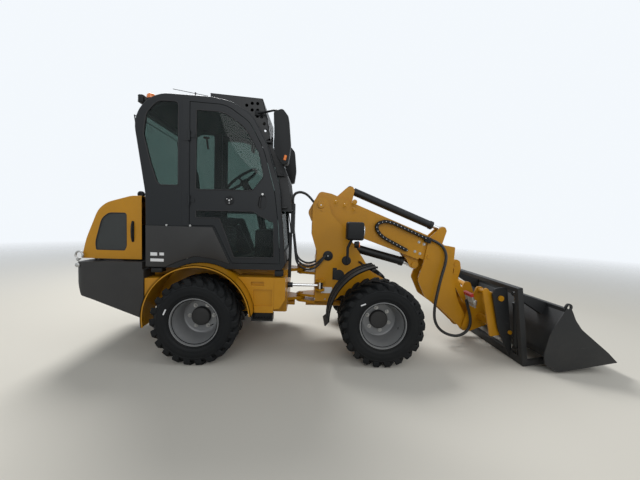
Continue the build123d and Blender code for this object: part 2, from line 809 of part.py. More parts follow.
inner_boom -= cross_bar(hitch_pivot, 28 + running_gap, -150, 150)
keep("boom_inner", inner_boom)

# Tilt linkage

arm_line = [rocker_pivot, rocker_eye]


def bar_between(start, end, radius_start, radius_end, y_low, y_high):
    """Flat bar with round ends."""
    way = degrees(atan2(end[1] - start[1], end[0] - start[0]))
    run = hypot(end[0] - start[0], end[1] - start[1])
    face = make_face(
        Polyline((0, -radius_start * 0.8), (run, -radius_end * 0.8), (run, radius_end * 0.8), (0, radius_start * 0.8), close=True)
    )
    place = Plane.XZ.offset(-y_high) * Pos(start[0], start[1]) * Rot(0, 0, way)
    web = extrude(place * face, amount=y_high - y_low, dir=(0, -1, 0))
    return fused(web, cross_bar(start, radius_start, y_low, y_high), cross_bar(end, radius_end, y_low, y_high))


rocker = [bar_between(rocker_pivot, rocker_eye, 52, 52, *sorted((side * 40, side * 56))) for side in (-1, 1)]
rocker = fused(rocker, cross_bar(rocker_pivot, 44, -40, 40), cross_bar(rocker_eye, 22, -84, 84))
rocker -= cross_bar(rocker_pivot, 26 + running_gap, -100, 100)
keep("rocker", rocker)
link_bow = 95
link_run = (link_eye[0] - rocker_eye[0], link_eye[1] - rocker_eye[1])
link_long = hypot(*link_run)


def link_place(along, off):
    """A place on the tilt link: a share of its length down, and off forwards of its line."""
    return (
        rocker_eye[0] + link_run[0] * along - link_run[1] / link_long * off,
        rocker_eye[1] + link_run[1] * along + link_run[0] / link_long * off,
    )


link_shape = (
    # share along, off, corner radius
    (0, 50, 30),
    (0.10, 30, 40),
    (0.24, 32 - link_bow, 80),
    (0.60, 32 - link_bow, 80),
    (0.86, 32, 60),
    (1, 40, 30),
    (1, -40, 30),
    (0.88, -32, 60),
    (0.66, -32 - link_bow, 80),
    (0.20, -32 - link_bow, 80),
    (0.06, -40, 40),
    (0, -50, 30),
)
link_rows = [(*link_place(along, off), r) for along, off, r in link_shape]
link_sides = []
for side in (-1, 1):
    low, high = sorted((side * 62, side * 78))
    link_sides.append(slab(link_rows, low, high))
    for eye, radius in ((rocker_eye, 52), (link_eye, 40)):
        link_sides.append(cross_bar(eye, radius, low, high))
link_brace = [(*link_place(along, off), 0) for along, off in ((0.4, -70), (0.6, -70), (0.6, -90), (0.4, -90))]
tilt_link = fused(link_sides, slab(link_brace, -64, 64))
for eye in (rocker_eye, link_eye):
    tilt_link -= cross_bar(eye, 22 + running_gap, -100, 100)
keep("tilt_link", tilt_link)

# Hitch

top_bar = (2852, 594)
low_pin = (2967, 258)
centre_rows = (
    (hitch_pivot[0] - 55, hitch_pivot[1] - 40, 40),
    (hitch_pivot[0] + 40, hitch_pivot[1] - 55, 40),
    (2990, 230, 30),
    (3000, 330, 30),
    (2885, 630, 35),
    (2815, 630, 35),
    (2700, 270, 60),
)
side_rows = (
    (2700, 650, 20),
    (2735, 690, 20),
    (2775, 640, 20),
    (2885, 635, 30),
    (2880, 480, 150),
    (2985, 270, 30),
    (2975, 225, 20),
    (2800, 195, 15),
    (2715, 560, 60),
)
centre_low = inner_half + plate + 8
hitch = []
for side in (-1, 1):
    low, high = sorted((side * centre_low, side * (centre_low + plate)))
    hitch.append(slab(centre_rows, low, high))
    low, high = sorted((side * (hitch_half - plate), side * hitch_half))
    hitch.append(slab(side_rows, low, high))
    low, high = sorted((side * centre_low, side * (hitch_half + 60)))
    hitch.append(cross_bar(top_bar, 27, low, high))
    hitch.append(cross_bar((2870, 300), 40, *sorted((side * centre_low, side * (hitch_half - 5)))))
    hitch.append(cross_bar(low_pin, 20, *sorted((side * (hitch_half - 60), side * (hitch_half + 55)))))
hitch.append(cross_bar(hitch_pivot, 28, -centre_low - plate - 6, centre_low + plate + 6))
hitch.append(cross_bar(link_eye, 22, -centre_low, centre_low))
keep("hitch", fused(hitch))

# Tool frame and bucket

post_half = 25
frame_out = 690
arm_low = 640
tool_frame = []
for side in (-1, 1):
    low, high = sorted((side * arm_low, side * frame_out))
    tool_frame.append(slab(tool_rows(((-post_half, -8, 4), (post_half, -8, 0), (post_half, 730, 4), (-post_half, 730, 4))), low, high))
    tool_frame.append(slab(tool_rows(((0, -8, 0), (tip_pivot[0], -8, 0), (tip_pivot[0], 34, 0), (0, 34, 0))), low, high))
    tool_frame.append(cross_bar(tool_place(*tip_pivot), 21, low, high))
    low, high = sorted((side * 486, side * 504))
    tool_frame.append(
        slab(tool_rows(((0, 20, 0), (0, 700, 0), (-120, 700, 30), (-150, 640, 20), (-120, 300, 60), (-90, 200, 60), (-30, 20, 0))), low, high)
    )
beams = (
    # a low, a high, b low, b high
    (-post_half, post_half, 690, 730),
    (-post_half, post_half, -8, 70),
)
for a0, a1, b0, b1 in beams:
    tool_frame.append(slab(tool_rows(((a0, b0, 4), (a1, b0, 4), (a1, b1, 4), (a0, b1, 4))), -frame_out + 5, frame_out - 5))
tool_frame = fused(tool_frame)
tool_frame -= cross_bar(top_bar, 27 + 0.5, -520, 520)
tool_frame -= cross_bar(low_pin, 20.5, -520, 520)
tool_frame -= cross_bar(tool_place(*tip_pivot), 14 + running_gap, -700, 700)
base_pins = []
for side in (-1, 1):
    for y in (tip_half - 38, tip_half + 26):
        low, high = sorted((side * y, side * (y + 12)))
        base_pins.append(slab(tool_rows(((-post_half, 60, 0), (-20, 132, 20), (20, 132, 20), (post_half, 60, 0))), low, high))
    low, high = sorted((side * (tip_half - 38), side * (tip_half + 38)))
    base_pins.append(cross_bar(tool_place(*tip_base), 14, low, high))
keep("tool_frame", fused(tool_frame, base_pins))

side_plate_rows = tool_rows(
    (
        (85, 150, 30),
        (148, 326, 200),
        (296, 516, 20),
        (334, 584, 34),
        (366, 510, 60),
        (392, 425, 60),
        (440, 336, 200),
        (670, 97, 20),
        (752, -6, 2),
        (600, -12, 0),
        (300, -24, 0),
        (205, -24, 60),
        (85, 60, 60),
    )
)
shell_out = (
    # a, b, corner radius
    (640, 0, 0),
    (735, -6, 2),
    (735, 8, 2),
    (640, 20, 20),
    (570, 52, 20),
    (190, 52, 110),
    (128, 150, 60),
    (182, 330, 200),
    (318, 520, 0),
    (304, 528, 0),
    (170, 336, 200),
    (116, 152, 60),
    (182, 40, 120),
    (562, 40, 20),
)
bucket = [slab(side_plate_rows, *sorted((side * (bucket_half - 12), side * bucket_half))) for side in (-1, 1)]
bucket.append(slab(tool_rows(shell_out), -bucket_half + 6, bucket_half - 6))
bucket.append(slab(tool_rows(((292, 506, 4), (338, 506, 4), (338, 546, 4), (292, 546, 4))), -bucket_half + 6, bucket_half - 6))
for side in (-1, 1):
    for y in (tip_half - 36, tip_half + 24):
        low, high = sorted((side * y, side * (y + 12)))
        bucket.append(
            slab(tool_rows(((300, 540, 0), (tip_eye[0], tip_eye[1] + 26, 24), (tip_eye[0] - 26, tip_eye[1], 24), (tip_eye[0], tip_eye[1] - 26, 24), (250, 430, 0))), low, high)
        )
    for y in (tip_half - 44, tip_half + 30):
        bucket.append(cross_bar(tool_place(*tip_eye), 18, *sorted((side * y, side * (y + 14)))))
    for y in (arm_low - 20, frame_out + 6):
        low, high = sorted((side * y, side * (y + 14)))
        bucket.append(slab(tool_rows(((tip_pivot[0] - 26, 45, 0), (tip_pivot[0] - 26, 0, 20), (tip_pivot[0] + 26, 0, 20), (tip_pivot[0] + 26, 45, 0))), low, high))
    low, high = sorted((side * (arm_low - 20), side * (frame_out + 20)))
    bucket.append(cross_bar(tool_place(*tip_pivot), 14, low, high))
bucket = fused(bucket)
bucket -= cross_bar(tool_place(334, 546), 14, -900, 900)
keep("bucket", bucket)

tip_parts = [cylinder_pair(tool_place(*tip_base), tool_place(*tip_eye), side * tip_half, 28, 15, 24, 14, 0.85, 44, 40) for side in (-1, 1)]
keep("tip_barrels", [pair[0] for pair in tip_parts])
keep("tip_rods", [pair[1] for pair in tip_parts])

# Energy chain beside the boom

chain_y = -(boom_half + seat_gap)
half_band = 15
band_out = boom_rows(((1180, 118 + half_band, 0), (725, 130 + half_band, 90), (620, 30, 90), (725, -52 - half_band, 90), (1020, -78 - half_band, 0), (1020, -78 + half_band, 0), (740, -52 + half_band, 60), (655, 30, 60), (740, 130 - half_band, 60), (1180, 118 - half_band, 0)))
keep("energy_chain", slab(band_out, chain_y - 45, chain_y))

os.makedirs("parts", exist_ok=True)
for node, solids in parts.items():
    moved = [Pos(base_shift, 0, 0) * one for one in solids]
    export_step(moved[0] if len(moved) == 1 else Compound(children=moved), f"parts/{node}.step")
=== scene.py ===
"""Finishes and fine pieces of a compact telescopic wheel loader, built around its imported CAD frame."""

from math import atan2, cos, pi, radians, sin

import bmesh
import bpy
from bpy.props import FloatProperty, FloatVectorProperty, IntProperty, PointerProperty
from mathutils import Matrix, Vector


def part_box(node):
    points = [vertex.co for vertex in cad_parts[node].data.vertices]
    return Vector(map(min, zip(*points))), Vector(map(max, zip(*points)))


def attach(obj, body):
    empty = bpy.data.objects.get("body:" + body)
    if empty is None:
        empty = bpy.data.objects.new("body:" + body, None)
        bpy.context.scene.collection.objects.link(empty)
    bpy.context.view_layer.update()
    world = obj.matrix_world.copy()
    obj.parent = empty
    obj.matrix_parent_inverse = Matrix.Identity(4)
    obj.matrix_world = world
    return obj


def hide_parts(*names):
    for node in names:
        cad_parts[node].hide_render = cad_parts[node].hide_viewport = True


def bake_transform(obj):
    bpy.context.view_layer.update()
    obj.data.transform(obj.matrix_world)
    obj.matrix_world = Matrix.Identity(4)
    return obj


bl_info = {
    "name": "Telescopic Wheel Loader",
    "version": (1, 0, 0),
    "blender": (4, 5, 0),
    "location": "View3D > Sidebar > Loader",
    "description": "Dresses the packed frame of a compact wheel loader with finishes and fine pieces",
    "category": "Object",
}

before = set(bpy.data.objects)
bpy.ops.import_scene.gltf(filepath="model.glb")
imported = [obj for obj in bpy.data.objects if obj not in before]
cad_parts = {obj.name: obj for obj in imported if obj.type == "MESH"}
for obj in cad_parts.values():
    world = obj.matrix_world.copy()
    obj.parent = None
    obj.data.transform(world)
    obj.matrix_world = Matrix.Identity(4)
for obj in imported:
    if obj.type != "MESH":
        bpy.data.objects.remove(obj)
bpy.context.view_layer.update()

# The datum is the ground under the rear axle; places are (forward, left, up) in metres.
rim_low, rim_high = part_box("rim_rear_right")
rear_x = (rim_low.x + rim_high.x) / 2
axle_z = (rim_low.z + rim_high.z) / 2
rim_r = (rim_high.z - rim_low.z) / 2
tyre_low, tyre_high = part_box("tyre_rear_right")
tyre_r = (tyre_high.z - tyre_low.z) / 2
tyre_mid = -(tyre_low.y + tyre_high.y) / 2
tyre_half = (tyre_high.y - tyre_low.y) / 2
front_low, front_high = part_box("rim_front_right")
wheelbase = (front_low.x + front_high.x) / 2 - rear_x
cab_half = 0.550
tower_half = 0.180
boom_half = 0.115

# Pivots in the side view, (forward, up)
boom_pivot = (1.088, 1.452)
boom_angle = radians(-21.2)
tool_heel = (3.010, 0.012)
tool_angle = radians(8)


def place(x, y, z):
    """A point measured forward of the rear axle, left of the middle and up from the ground."""
    return Vector((rear_x + x, y, z))


def boom_place(along, y, up):
    """A point along the boom from its pivot, and up from its middle line."""
    return place(
        boom_pivot[0] + along * cos(boom_angle) - up * sin(boom_angle),
        y,
        boom_pivot[1] + along * sin(boom_angle) + up * cos(boom_angle),
    )


def tool_place(forward, y, up):
    """A point on the tool from its heel, along its arms and up its posts."""
    return place(
        tool_heel[0] + forward * cos(tool_angle) - up * sin(tool_angle),
        y,
        tool_heel[1] + forward * sin(tool_angle) + up * cos(tool_angle),
    )


# Sizes and colours that a user would change


class LoaderPaint(bpy.types.PropertyGroup):
    ochre: FloatVectorProperty(
        name="Ochre paint", description="Paint of the hood, boom and frames", subtype="COLOR",
        default=(0.470, 0.215, 0.004), min=0.0, max=1.0,
    )
    charcoal: FloatVectorProperty(
        name="Charcoal paint", description="Paint of the cab and doors", subtype="COLOR",
        default=(0.006, 0.0078, 0.0095), min=0.0, max=1.0,
    )
    panel: FloatVectorProperty(
        name="Panel grey", description="Panels below the doors, counterweight and hub caps", subtype="COLOR",
        default=(0.034, 0.034, 0.034), min=0.0, max=1.0,
    )
    silver: FloatVectorProperty(
        name="Rim silver", description="Paint of the wheel rims", subtype="COLOR",
        default=(0.21, 0.215, 0.22), min=0.0, max=1.0,
    )
    dust: FloatVectorProperty(
        name="Dust", description="Dry dust on the lower parts", subtype="COLOR",
        default=(0.30, 0.26, 0.20), min=0.0, max=1.0,
    )


class LoaderStage(bpy.types.PropertyGroup):
    focal: FloatProperty(
        name="Focal length", description="Lens of the camera on a 36 mm sensor", default=17.4375, min=5.0,
        subtype="DISTANCE_CAMERA",
    )
    eye: FloatVectorProperty(
        name="Camera place", description="Forward of the rear axle, left, up", subtype="TRANSLATION",
        default=(0.947, -3.405, 1.2875),
    )
    yaw: FloatProperty(
        name="Yaw", description="Turn of the view towards the front", default=0.044, subtype="ANGLE"
    )
    pitch: FloatProperty(
        name="Pitch", description="Tilt of the view downwards", default=0.0615, subtype="ANGLE"
    )
    roll: FloatProperty(
        name="Roll", description="Turn about the line of sight", default=0.033, subtype="ANGLE"
    )
    floor: FloatVectorProperty(
        name="Floor", description="Colour of the floor", subtype="COLOR", default=(0.60, 0.575, 0.515),
        min=0.0, max=1.0,
    )


class LoaderWheels(bpy.types.PropertyGroup):
    lugs: IntProperty(name="Lugs", description="Tread lugs on each half of a tyre", default=22, min=8, max=40)
    lug_height: FloatProperty(
        name="Lug height", description="Depth of the tread", default=0.026, min=0.005, max=0.05,
        subtype="DISTANCE",
    )
    nut_circle: FloatProperty(
        name="Nut circle", description="Radius of the wheel nut circle", default=0.109, subtype="DISTANCE"
    )


class LoaderCab(bpy.types.PropertyGroup):
    seal: FloatProperty(
        name="Seal", description="Thickness of the glass seals", default=0.011, min=0.002, subtype="DISTANCE"
    )
    swell: FloatProperty(
        name="Swell", description="Most that the seat pads swell", default=0.014, min=0.0, subtype="DISTANCE"
    )


class LoaderHoses(bpy.types.PropertyGroup):
    sleeve: FloatProperty(
        name="Sleeve", description="Diameter of the sleeved hose on the boom head", default=0.030,
        subtype="DISTANCE",
    )
    line: FloatProperty(
        name="Line", description="Diameter of the single hoses", default=0.020, subtype="DISTANCE"
    )


# Building blocks


def places(*spots):
    """Points from rows of (forward, left, up)."""
    return [place(*spot) for spot in spots]


def side_line(rows, y):
    """Points from rows of (forward, up), all at one distance from the middle."""
    return [place(x, y, z) for x, z in rows]


def linked(name, mesh):
    piece = bpy.data.objects.new(name, mesh)
    bpy.context.scene.collection.objects.link(piece)
    return piece


def mesh_of(bm, name):
    """Mesh of a bmesh, which is used up."""
    mesh = bpy.data.meshes.new(name)
    bm.to_mesh(mesh)
    bm.free()
    return mesh


def shaped(name, bm, finish, body, flat_angle=35):
    """Turns a bmesh into a piece of that finish that rides on a CAD body, where one is named."""
    bmesh.ops.recalc_face_normals(bm, faces=bm.faces[:])
    mesh = mesh_of(bm, name)
    mesh.shade_smooth()
    mesh.set_sharp_from_angle(angle=radians(flat_angle))
    mesh.materials.append(bpy.data.materials[finish])
    piece = linked(name, mesh)
    if body:
        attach(piece, body)
    return piece


def turn_to(direction):
    """Rotation that takes the z axis to a direction."""
    return Vector(direction).to_track_quat("Z", "Y").to_matrix().to_4x4()


def add_rod(bm, start, end, radius, sides=16, end_radius=None):
    """Round bar between two points, or a cone where its ends differ."""
    start = Vector(start)
    end = Vector(end)
    matrix = Matrix.Translation((start + end) / 2) @ turn_to(end - start)
    return bmesh.ops.create_cone(
        bm, cap_ends=True, segments=sides, radius1=radius, radius2=end_radius or radius,
        depth=(end - start).length, matrix=matrix,
    )["verts"]


def bevel_edges(bm, edges, width, segments=2):
    bmesh.ops.bevel(
        bm, geom=edges, offset=width, offset_type="OFFSET", affect="EDGES", segments=segments,
        profile=0.5, material=-1, clamp_overlap=True,
    )


def bevelled(bm, verts, width, segments=2):
    """Rounds the edges of a part of the mesh."""
    part = set(verts)
    bevel_edges(bm, [edge for edge in bm.edges if not part.isdisjoint(edge.verts)], width, segments)


def add_box(bm, centre, size, edge=0.0, turn=None, segments=2):
    """Box with rounded edges about its centre, turned by a matrix."""
    matrix = Matrix.Translation(centre) @ (turn or Matrix()) @ Matrix.Diagonal((*size, 1))
    verts = bmesh.ops.create_cube(bm, size=1, matrix=matrix)["verts"]
    if edge:
        bevelled(bm, verts, edge, segments)


def add_plate(bm, points, thick, edge=0.0):
    """Flat outline of points, made solid by a vector."""
    verts = [bm.verts.new(point) for point in points]
    face = bm.faces.new(verts)
    grown = bmesh.ops.extrude_face_region(bm, geom=[face])["geom"]
    moved = [item for item in grown if isinstance(item, bmesh.types.BMVert)]
    bmesh.ops.translate(bm, verts=moved, vec=thick)
    if edge:
        bevelled(bm, verts + moved, edge)


def add_turned(bm, rows, centre, axis, steps=48):
    """Spins rows of (along, radius) about an axis through the centre."""
    matrix = Matrix.Translation(centre) @ turn_to(axis)
    verts = [bm.verts.new(matrix @ Vector((radius, 0, along))) for along, radius in rows]
    edges = [bm.edges.new(pair) for pair in zip(verts, verts[1:])]
    bmesh.ops.spin(
        bm, geom=verts + edges, cent=centre, axis=(matrix.to_3x3() @ Vector((0, 0, 1))), angle=2 * pi,
        steps=steps, use_merge=True, use_duplicate=False,
    )
    bmesh.ops.remove_doubles(bm, verts=bm.verts[:], dist=1e-6)


def add_cap(bm, centre, axis, radii, heights, steps):
    """Round cap whose outer edge slopes from one radius and height to the other."""
    wide, narrow = radii
    low, high = heights
    add_turned(bm, ((0, 0.0), (0, wide), (low, wide), (high, narrow), (high, 0.0)), centre, axis, steps)


def add_bolt(bm, centre, axis, radius, height=None):
    """Hexagon head on its washer."""
    height = height or radius * 0.8
    axis = Vector(axis).normalized()
    add_rod(bm, centre, centre + axis * height * 0.3, radius * 1.35, 14)
    head = add_rod(bm, centre + axis * height * 0.3, centre + axis * height, radius, 6)
    bevelled(bm, head, radius * 0.12, 1)


def add_tube(bm, points, radius, closed=False, kind="POLY", sides=2):
    """Round bead or hose along points; returns the points of its middle line."""
    route = bpy.data.curves.new("route", "CURVE")
    route.dimensions = "3D"
    spline = route.splines.new(kind)
    spline.points.add(len(points) - 1)
    for control, point in zip(spline.points, points):
        control.co = (*point, 1)
    spline.use_cyclic_u = closed
    if kind == "NURBS":
        spline.order_u = 3
        spline.use_endpoint_u = True
        spline.resolution_u = 10
    holder = linked("route", route)
    bpy.context.view_layer.update()
    line = bpy.data.meshes.new_from_object(holder)
    path = [vert.co.copy() for vert in line.vertices]
    route.bevel_depth = radius
    route.bevel_resolution = sides
    route.use_fill_caps = not closed
    bpy.context.view_layer.update()
    tube = bpy.data.meshes.new_from_object(holder)
    bm.from_mesh(tube)
    bpy.data.objects.remove(holder)
    bpy.data.meshes.remove(line)
    bpy.data.meshes.remove(tube)
    bpy.data.curves.remove(route)
    return path


# Finishes


def node_of(material, kind, inputs=None, **settings):
    """Adds a node with settings, and inputs given as values or as other nodes' outputs."""
    tree = material.node_tree
    node = tree.nodes.new(kind)
    for key, value in settings.items():
        setattr(node, key, value)
    for key, value in (inputs or {}).items():
        if isinstance(value, bpy.types.NodeSocket):
            tree.links.new(value, node.inputs[key])
        else:
            node.inputs[key].default_value = value
    return node


def empty_material(name):
    plain = bpy.data.materials.get(name)
    if plain:
        plain.name = name + "_cad"
    material = bpy.data.materials.new(name)
    material.use_nodes = True
    material.node_tree.nodes.clear()
    return material


def spread(material, value, low, high, to_low=0.0, to_high=1.0):
    """Maps a value from one range to another, held at its ends."""
    node = node_of(
        material, "ShaderNodeMapRange",
        {"Value": value, "From Min": low, "From Max": high, "To Min": to_low, "To Max": to_high},
    )
    return node.outputs["Result"]


def noise(material, point, scale, detail=4.0, roughness=0.5):
    node = node_of(
        material, "ShaderNodeTexNoise",
        {"Vector": point, "Scale": scale, "Detail": detail, "Roughness": roughness},
    )
    return node.outputs["Fac"]


def math(material, operation, first, second=0.0):
    return node_of(material, "ShaderNodeMath", {0: first, 1: second}, operation=operation).outputs[0]


def mixed(material, factor, first, second):
    node = node_of(material, "ShaderNodeMix", {"Factor": factor}, data_type="RGBA")
    for index, value in ((6, first), (7, second)):
        if isinstance(value, bpy.types.NodeSocket):
            material.node_tree.links.new(value, node.inputs[index])
        else:
            node.inputs[index].default_value = (*value, 1)
    return node.outputs[2]


def weave(material, point, pitch):
    """Crossed ribs of a cloth or a wire mesh, from 0 in the gaps to 1 on the threads."""
    axes = node_of(material, "ShaderNodeSeparateXYZ", {0: point}).outputs
    waves = []
    for first, second in (("X", "Z"), ("Y", "Z")):
        slope = math(material, "ADD" if first == "X" else "SUBTRACT", axes[first], axes[second])
        wave = math(material, "SINE", math(material, "MULTIPLY", slope, 2 * pi / pitch))
        waves.append(math(material, "ABSOLUTE", wave))
    return math(material, "MULTIPLY", *waves)


def coated(name, colour, roughness, dust_colour, metallic=0.0, coat=0.0, grain=900.0, grain_depth=0.0002,
           dust=0.25, dust_top=1.1, variety=0.08, scuffs=0.0, threads=0.0, specular=0.5):
    """Paint, plastic or cloth: grain, slight shade changes, scuffs, and dust that thins with height."""
    material = empty_material(name)
    point = node_of(material, "ShaderNodeTexCoord").outputs["Object"]
    height = node_of(material, "ShaderNodeSeparateXYZ", {0: point}).outputs["Z"]
    cloud = noise(material, point, 2.6, 6, 0.6)
    speck = noise(material, point, 38, 8, 0.7)
    shade = spread(material, cloud, 0.3, 0.7, 1 - variety, 1 + variety)
    shaded = node_of(material, "ShaderNodeHueSaturation", {"Value": shade, "Color": (*colour, 1)})
    tinted = shaded.outputs["Color"]
    if scuffs:
        long_way = node_of(material, "ShaderNodeMapping", {"Vector": point, "Scale": (3, 40, 14)}).outputs[0]
        lines = spread(material, noise(material, long_way, 2.2, 9, 0.75), 0.60, 0.74)
        rubbed = math(material, "MULTIPLY", spread(material, speck, 0.42, 0.6), scuffs)
        worn = math(material, "MULTIPLY", lines, rubbed)
        tinted = mixed(material, worn, tinted, (0.20, 0.19, 0.18))
    low = spread(material, height, 0.0, dust_top, 1.0, 0.0)
    patch = spread(material, math(material, "ADD", cloud, math(material, "MULTIPLY", speck, 0.5)), 0.55, 1.0)
    facing = node_of(material, "ShaderNodeNewGeometry").outputs["Normal"]
    level = node_of(material, "ShaderNodeSeparateXYZ", {0: facing}).outputs["Z"]
    upward = math(material, "MULTIPLY", spread(material, level, 0.3, 1, 0.4, 1), dust)
    mask = math(material, "MULTIPLY", math(material, "MULTIPLY", low, patch), upward)
    base = mixed(material, mask, tinted, dust_colour)
    matt = math(material, "ADD", mask, math(material, "MULTIPLY", speck, 0.12))
    rough = spread(material, matt, 0, 1, roughness, 0.95)
    grains = noise(material, point, grain, 2, 0.5)
    if threads:
        woven = math(material, "MULTIPLY", weave(material, point, threads), 2.0)
        grains = math(material, "ADD", grains, woven)
    peel = node_of(material, "ShaderNodeBump", {"Height": grains, "Distance": grain_depth, "Strength": 0.5})
    shader = node_of(
        material, "ShaderNodeBsdfPrincipled",
        {"Base Color": base, "Roughness": rough, "Metallic": metallic, "Coat Weight": coat,
         "Coat Roughness": 0.12, "Specular IOR Level": specular, "Normal": peel.outputs["Normal"]},
    )
    node_of(material, "ShaderNodeOutputMaterial", {"Surface": shader.outputs["BSDF"]})
    return material


def clear(name, colour, passed, share):
    """Tinted glass: a thin pane that passes tinted light, with a share of shine and dust."""
    material = empty_material(name)
    point = node_of(material, "ShaderNodeTexCoord").outputs["Object"]
    film = spread(material, noise(material, point, 3.5, 6, 0.65), 0.45, 0.8, 0.0, 0.25)
    shine = node_of(
        material, "ShaderNodeBsdfPrincipled",
        {"Base Color": mixed(material, film, colour, (0.5, 0.5, 0.47)), "Roughness": 0.02,
         "Specular IOR Level": 1.0},
    )
    tint = node_of(material, "ShaderNodeBsdfTransparent", {"Color": (*passed, 1)})
    pane = node_of(
        material, "ShaderNodeMixShader", {0: share, 1: tint.outputs[0], 2: shine.outputs["BSDF"]}
    )
    node_of(material, "ShaderNodeOutputMaterial", {"Surface": pane.outputs[0]})
    return material


node_finishes = {
    # finish: CAD nodes that carry it
    "ochre_paint": (
        "hood", "rear_fenders", "boom_outer", "boom_inner", "rocker", "tilt_link", "hitch", "front_frame",
        "rear_frame", "front_axle", "rear_axle",
    ),
    "charcoal_paint": ("cab_body", "door_right", "door_left"),
    "panel_paint": ("cab_side_panels", "counterweight"),
    "bucket_paint": ("bucket", "tool_frame"),
    "black_paint": (
        "cab_guard", "roof_visor", "valve_block", "telescope_barrel", "lift_barrel", "steering_barrel",
        "tip_barrels", "engine_block",
    ),
    "black_plastic": (
        "front_fenders", "mirrors", "steps", "energy_chain", "steering_console", "front_lamps", "work_lamps",
    ),
    "grille_mesh": ("hood_trim",),
    "silver_paint": ("rim_rear_right", "rim_rear_left", "rim_front_right", "rim_front_left"),
    "tyre_rubber": ("tyre_rear_right", "tyre_rear_left", "tyre_front_right", "tyre_front_left"),
    "chrome_rod": ("telescope_rod", "lift_rod", "steering_rod", "tip_rods"),
    "tinted_glass": ("cab_glass", "door_glass_right", "door_glass_left"),
    "seat_fabric": ("seat",),
    "orange_lens": ("beacon",),
}


class LOADER_OT_finishes(bpy.types.Operator):
    """Makes the finishes and gives each CAD node its own"""

    bl_idname = "loader.finishes"
    bl_label = "Finishes"

    def execute(self, context):
        paint = context.scene.loader_paint
        dust = paint.dust
        coated("ochre_paint", paint.ochre, 0.36, dust, coat=0.15, dust=0.10, specular=0.3)
        coated("charcoal_paint", paint.charcoal, 0.42, dust, dust=0.10, specular=0.3)
        coated("panel_paint", paint.panel, 0.5, dust, dust=0.10, specular=0.25, grain=500, grain_depth=0.0006)
        coated(
            "bucket_paint", (0.016, 0.017, 0.018), 0.46, dust, dust=0.16, dust_top=0.5, scuffs=0.35,
            specular=0.3,
        )
        coated("black_paint", (0.010, 0.011, 0.012), 0.36, dust, dust=0.10, specular=0.3)
        coated(
            "black_plastic", (0.008, 0.009, 0.010), 0.55, dust, dust=0.12, grain=420, grain_depth=0.0008,
            specular=0.25,
        )
        coated("grille_mesh", (0.026, 0.030, 0.030), 0.6, dust, dust=0.1, grain_depth=0.0012, threads=0.006)
        coated("silver_paint", paint.silver, 0.42, dust, metallic=0.3, dust=0.25, dust_top=0.9)
        coated(
            "tyre_rubber", (0.004, 0.005, 0.006), 0.66, dust, dust=0.06, grain=260, grain_depth=0.0010,
            specular=0.2,
        )
        coated("hose_rubber", (0.008, 0.009, 0.010), 0.48, dust, dust=0.05, grain_depth=0.0006, threads=0.004)
        coated("seal_rubber", (0.006, 0.006, 0.007), 0.6, dust, dust=0.05)
        coated("chrome_rod", (0.62, 0.62, 0.62), 0.12, dust, metallic=1.0, dust=0.05, grain_depth=0.00002)
        coated("zinc_steel", (0.42, 0.42, 0.41), 0.32, dust, metallic=0.9, dust=0.05, grain_depth=0.0001)
        coated("seat_fabric", (0.022, 0.023, 0.025), 0.9, dust, dust=0.0, grain_depth=0.0012, threads=0.003)
        coated("headliner_felt", (0.075, 0.090, 0.086), 0.95, dust, dust=0.0, grain=1300, grain_depth=0.001)
        coated("orange_lens", (0.80, 0.19, 0.008), 0.18, dust, coat=0.6, dust=0.0, grain_depth=0.00005)
        coated("red_lens", (0.42, 0.012, 0.010), 0.2, dust, coat=0.6, dust=0.0, grain_depth=0.00005)
        coated("red_plastic", (0.45, 0.020, 0.015), 0.4, dust, dust=0.0)
        coated("white_paint", (0.70, 0.71, 0.72), 0.5, dust, dust=0.1)
        coated(
            "lamp_lens", (0.55, 0.57, 0.58), 0.12, dust, metallic=0.6, coat=1.0, dust=0.0, grain=60,
            grain_depth=0.002,
        )
        coated("mirror_glass", (0.75, 0.78, 0.80), 0.04, dust, metallic=1.0, dust=0.0, grain_depth=0.0)
        clear("tinted_glass", (0.010, 0.020, 0.018), (0.52, 0.60, 0.58), 0.14)
        for finish, nodes in node_finishes.items():
            for node in nodes:
                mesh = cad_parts[node].data
                mesh.materials.clear()
                mesh.materials.append(bpy.data.materials[finish])
        return {"FINISHED"}


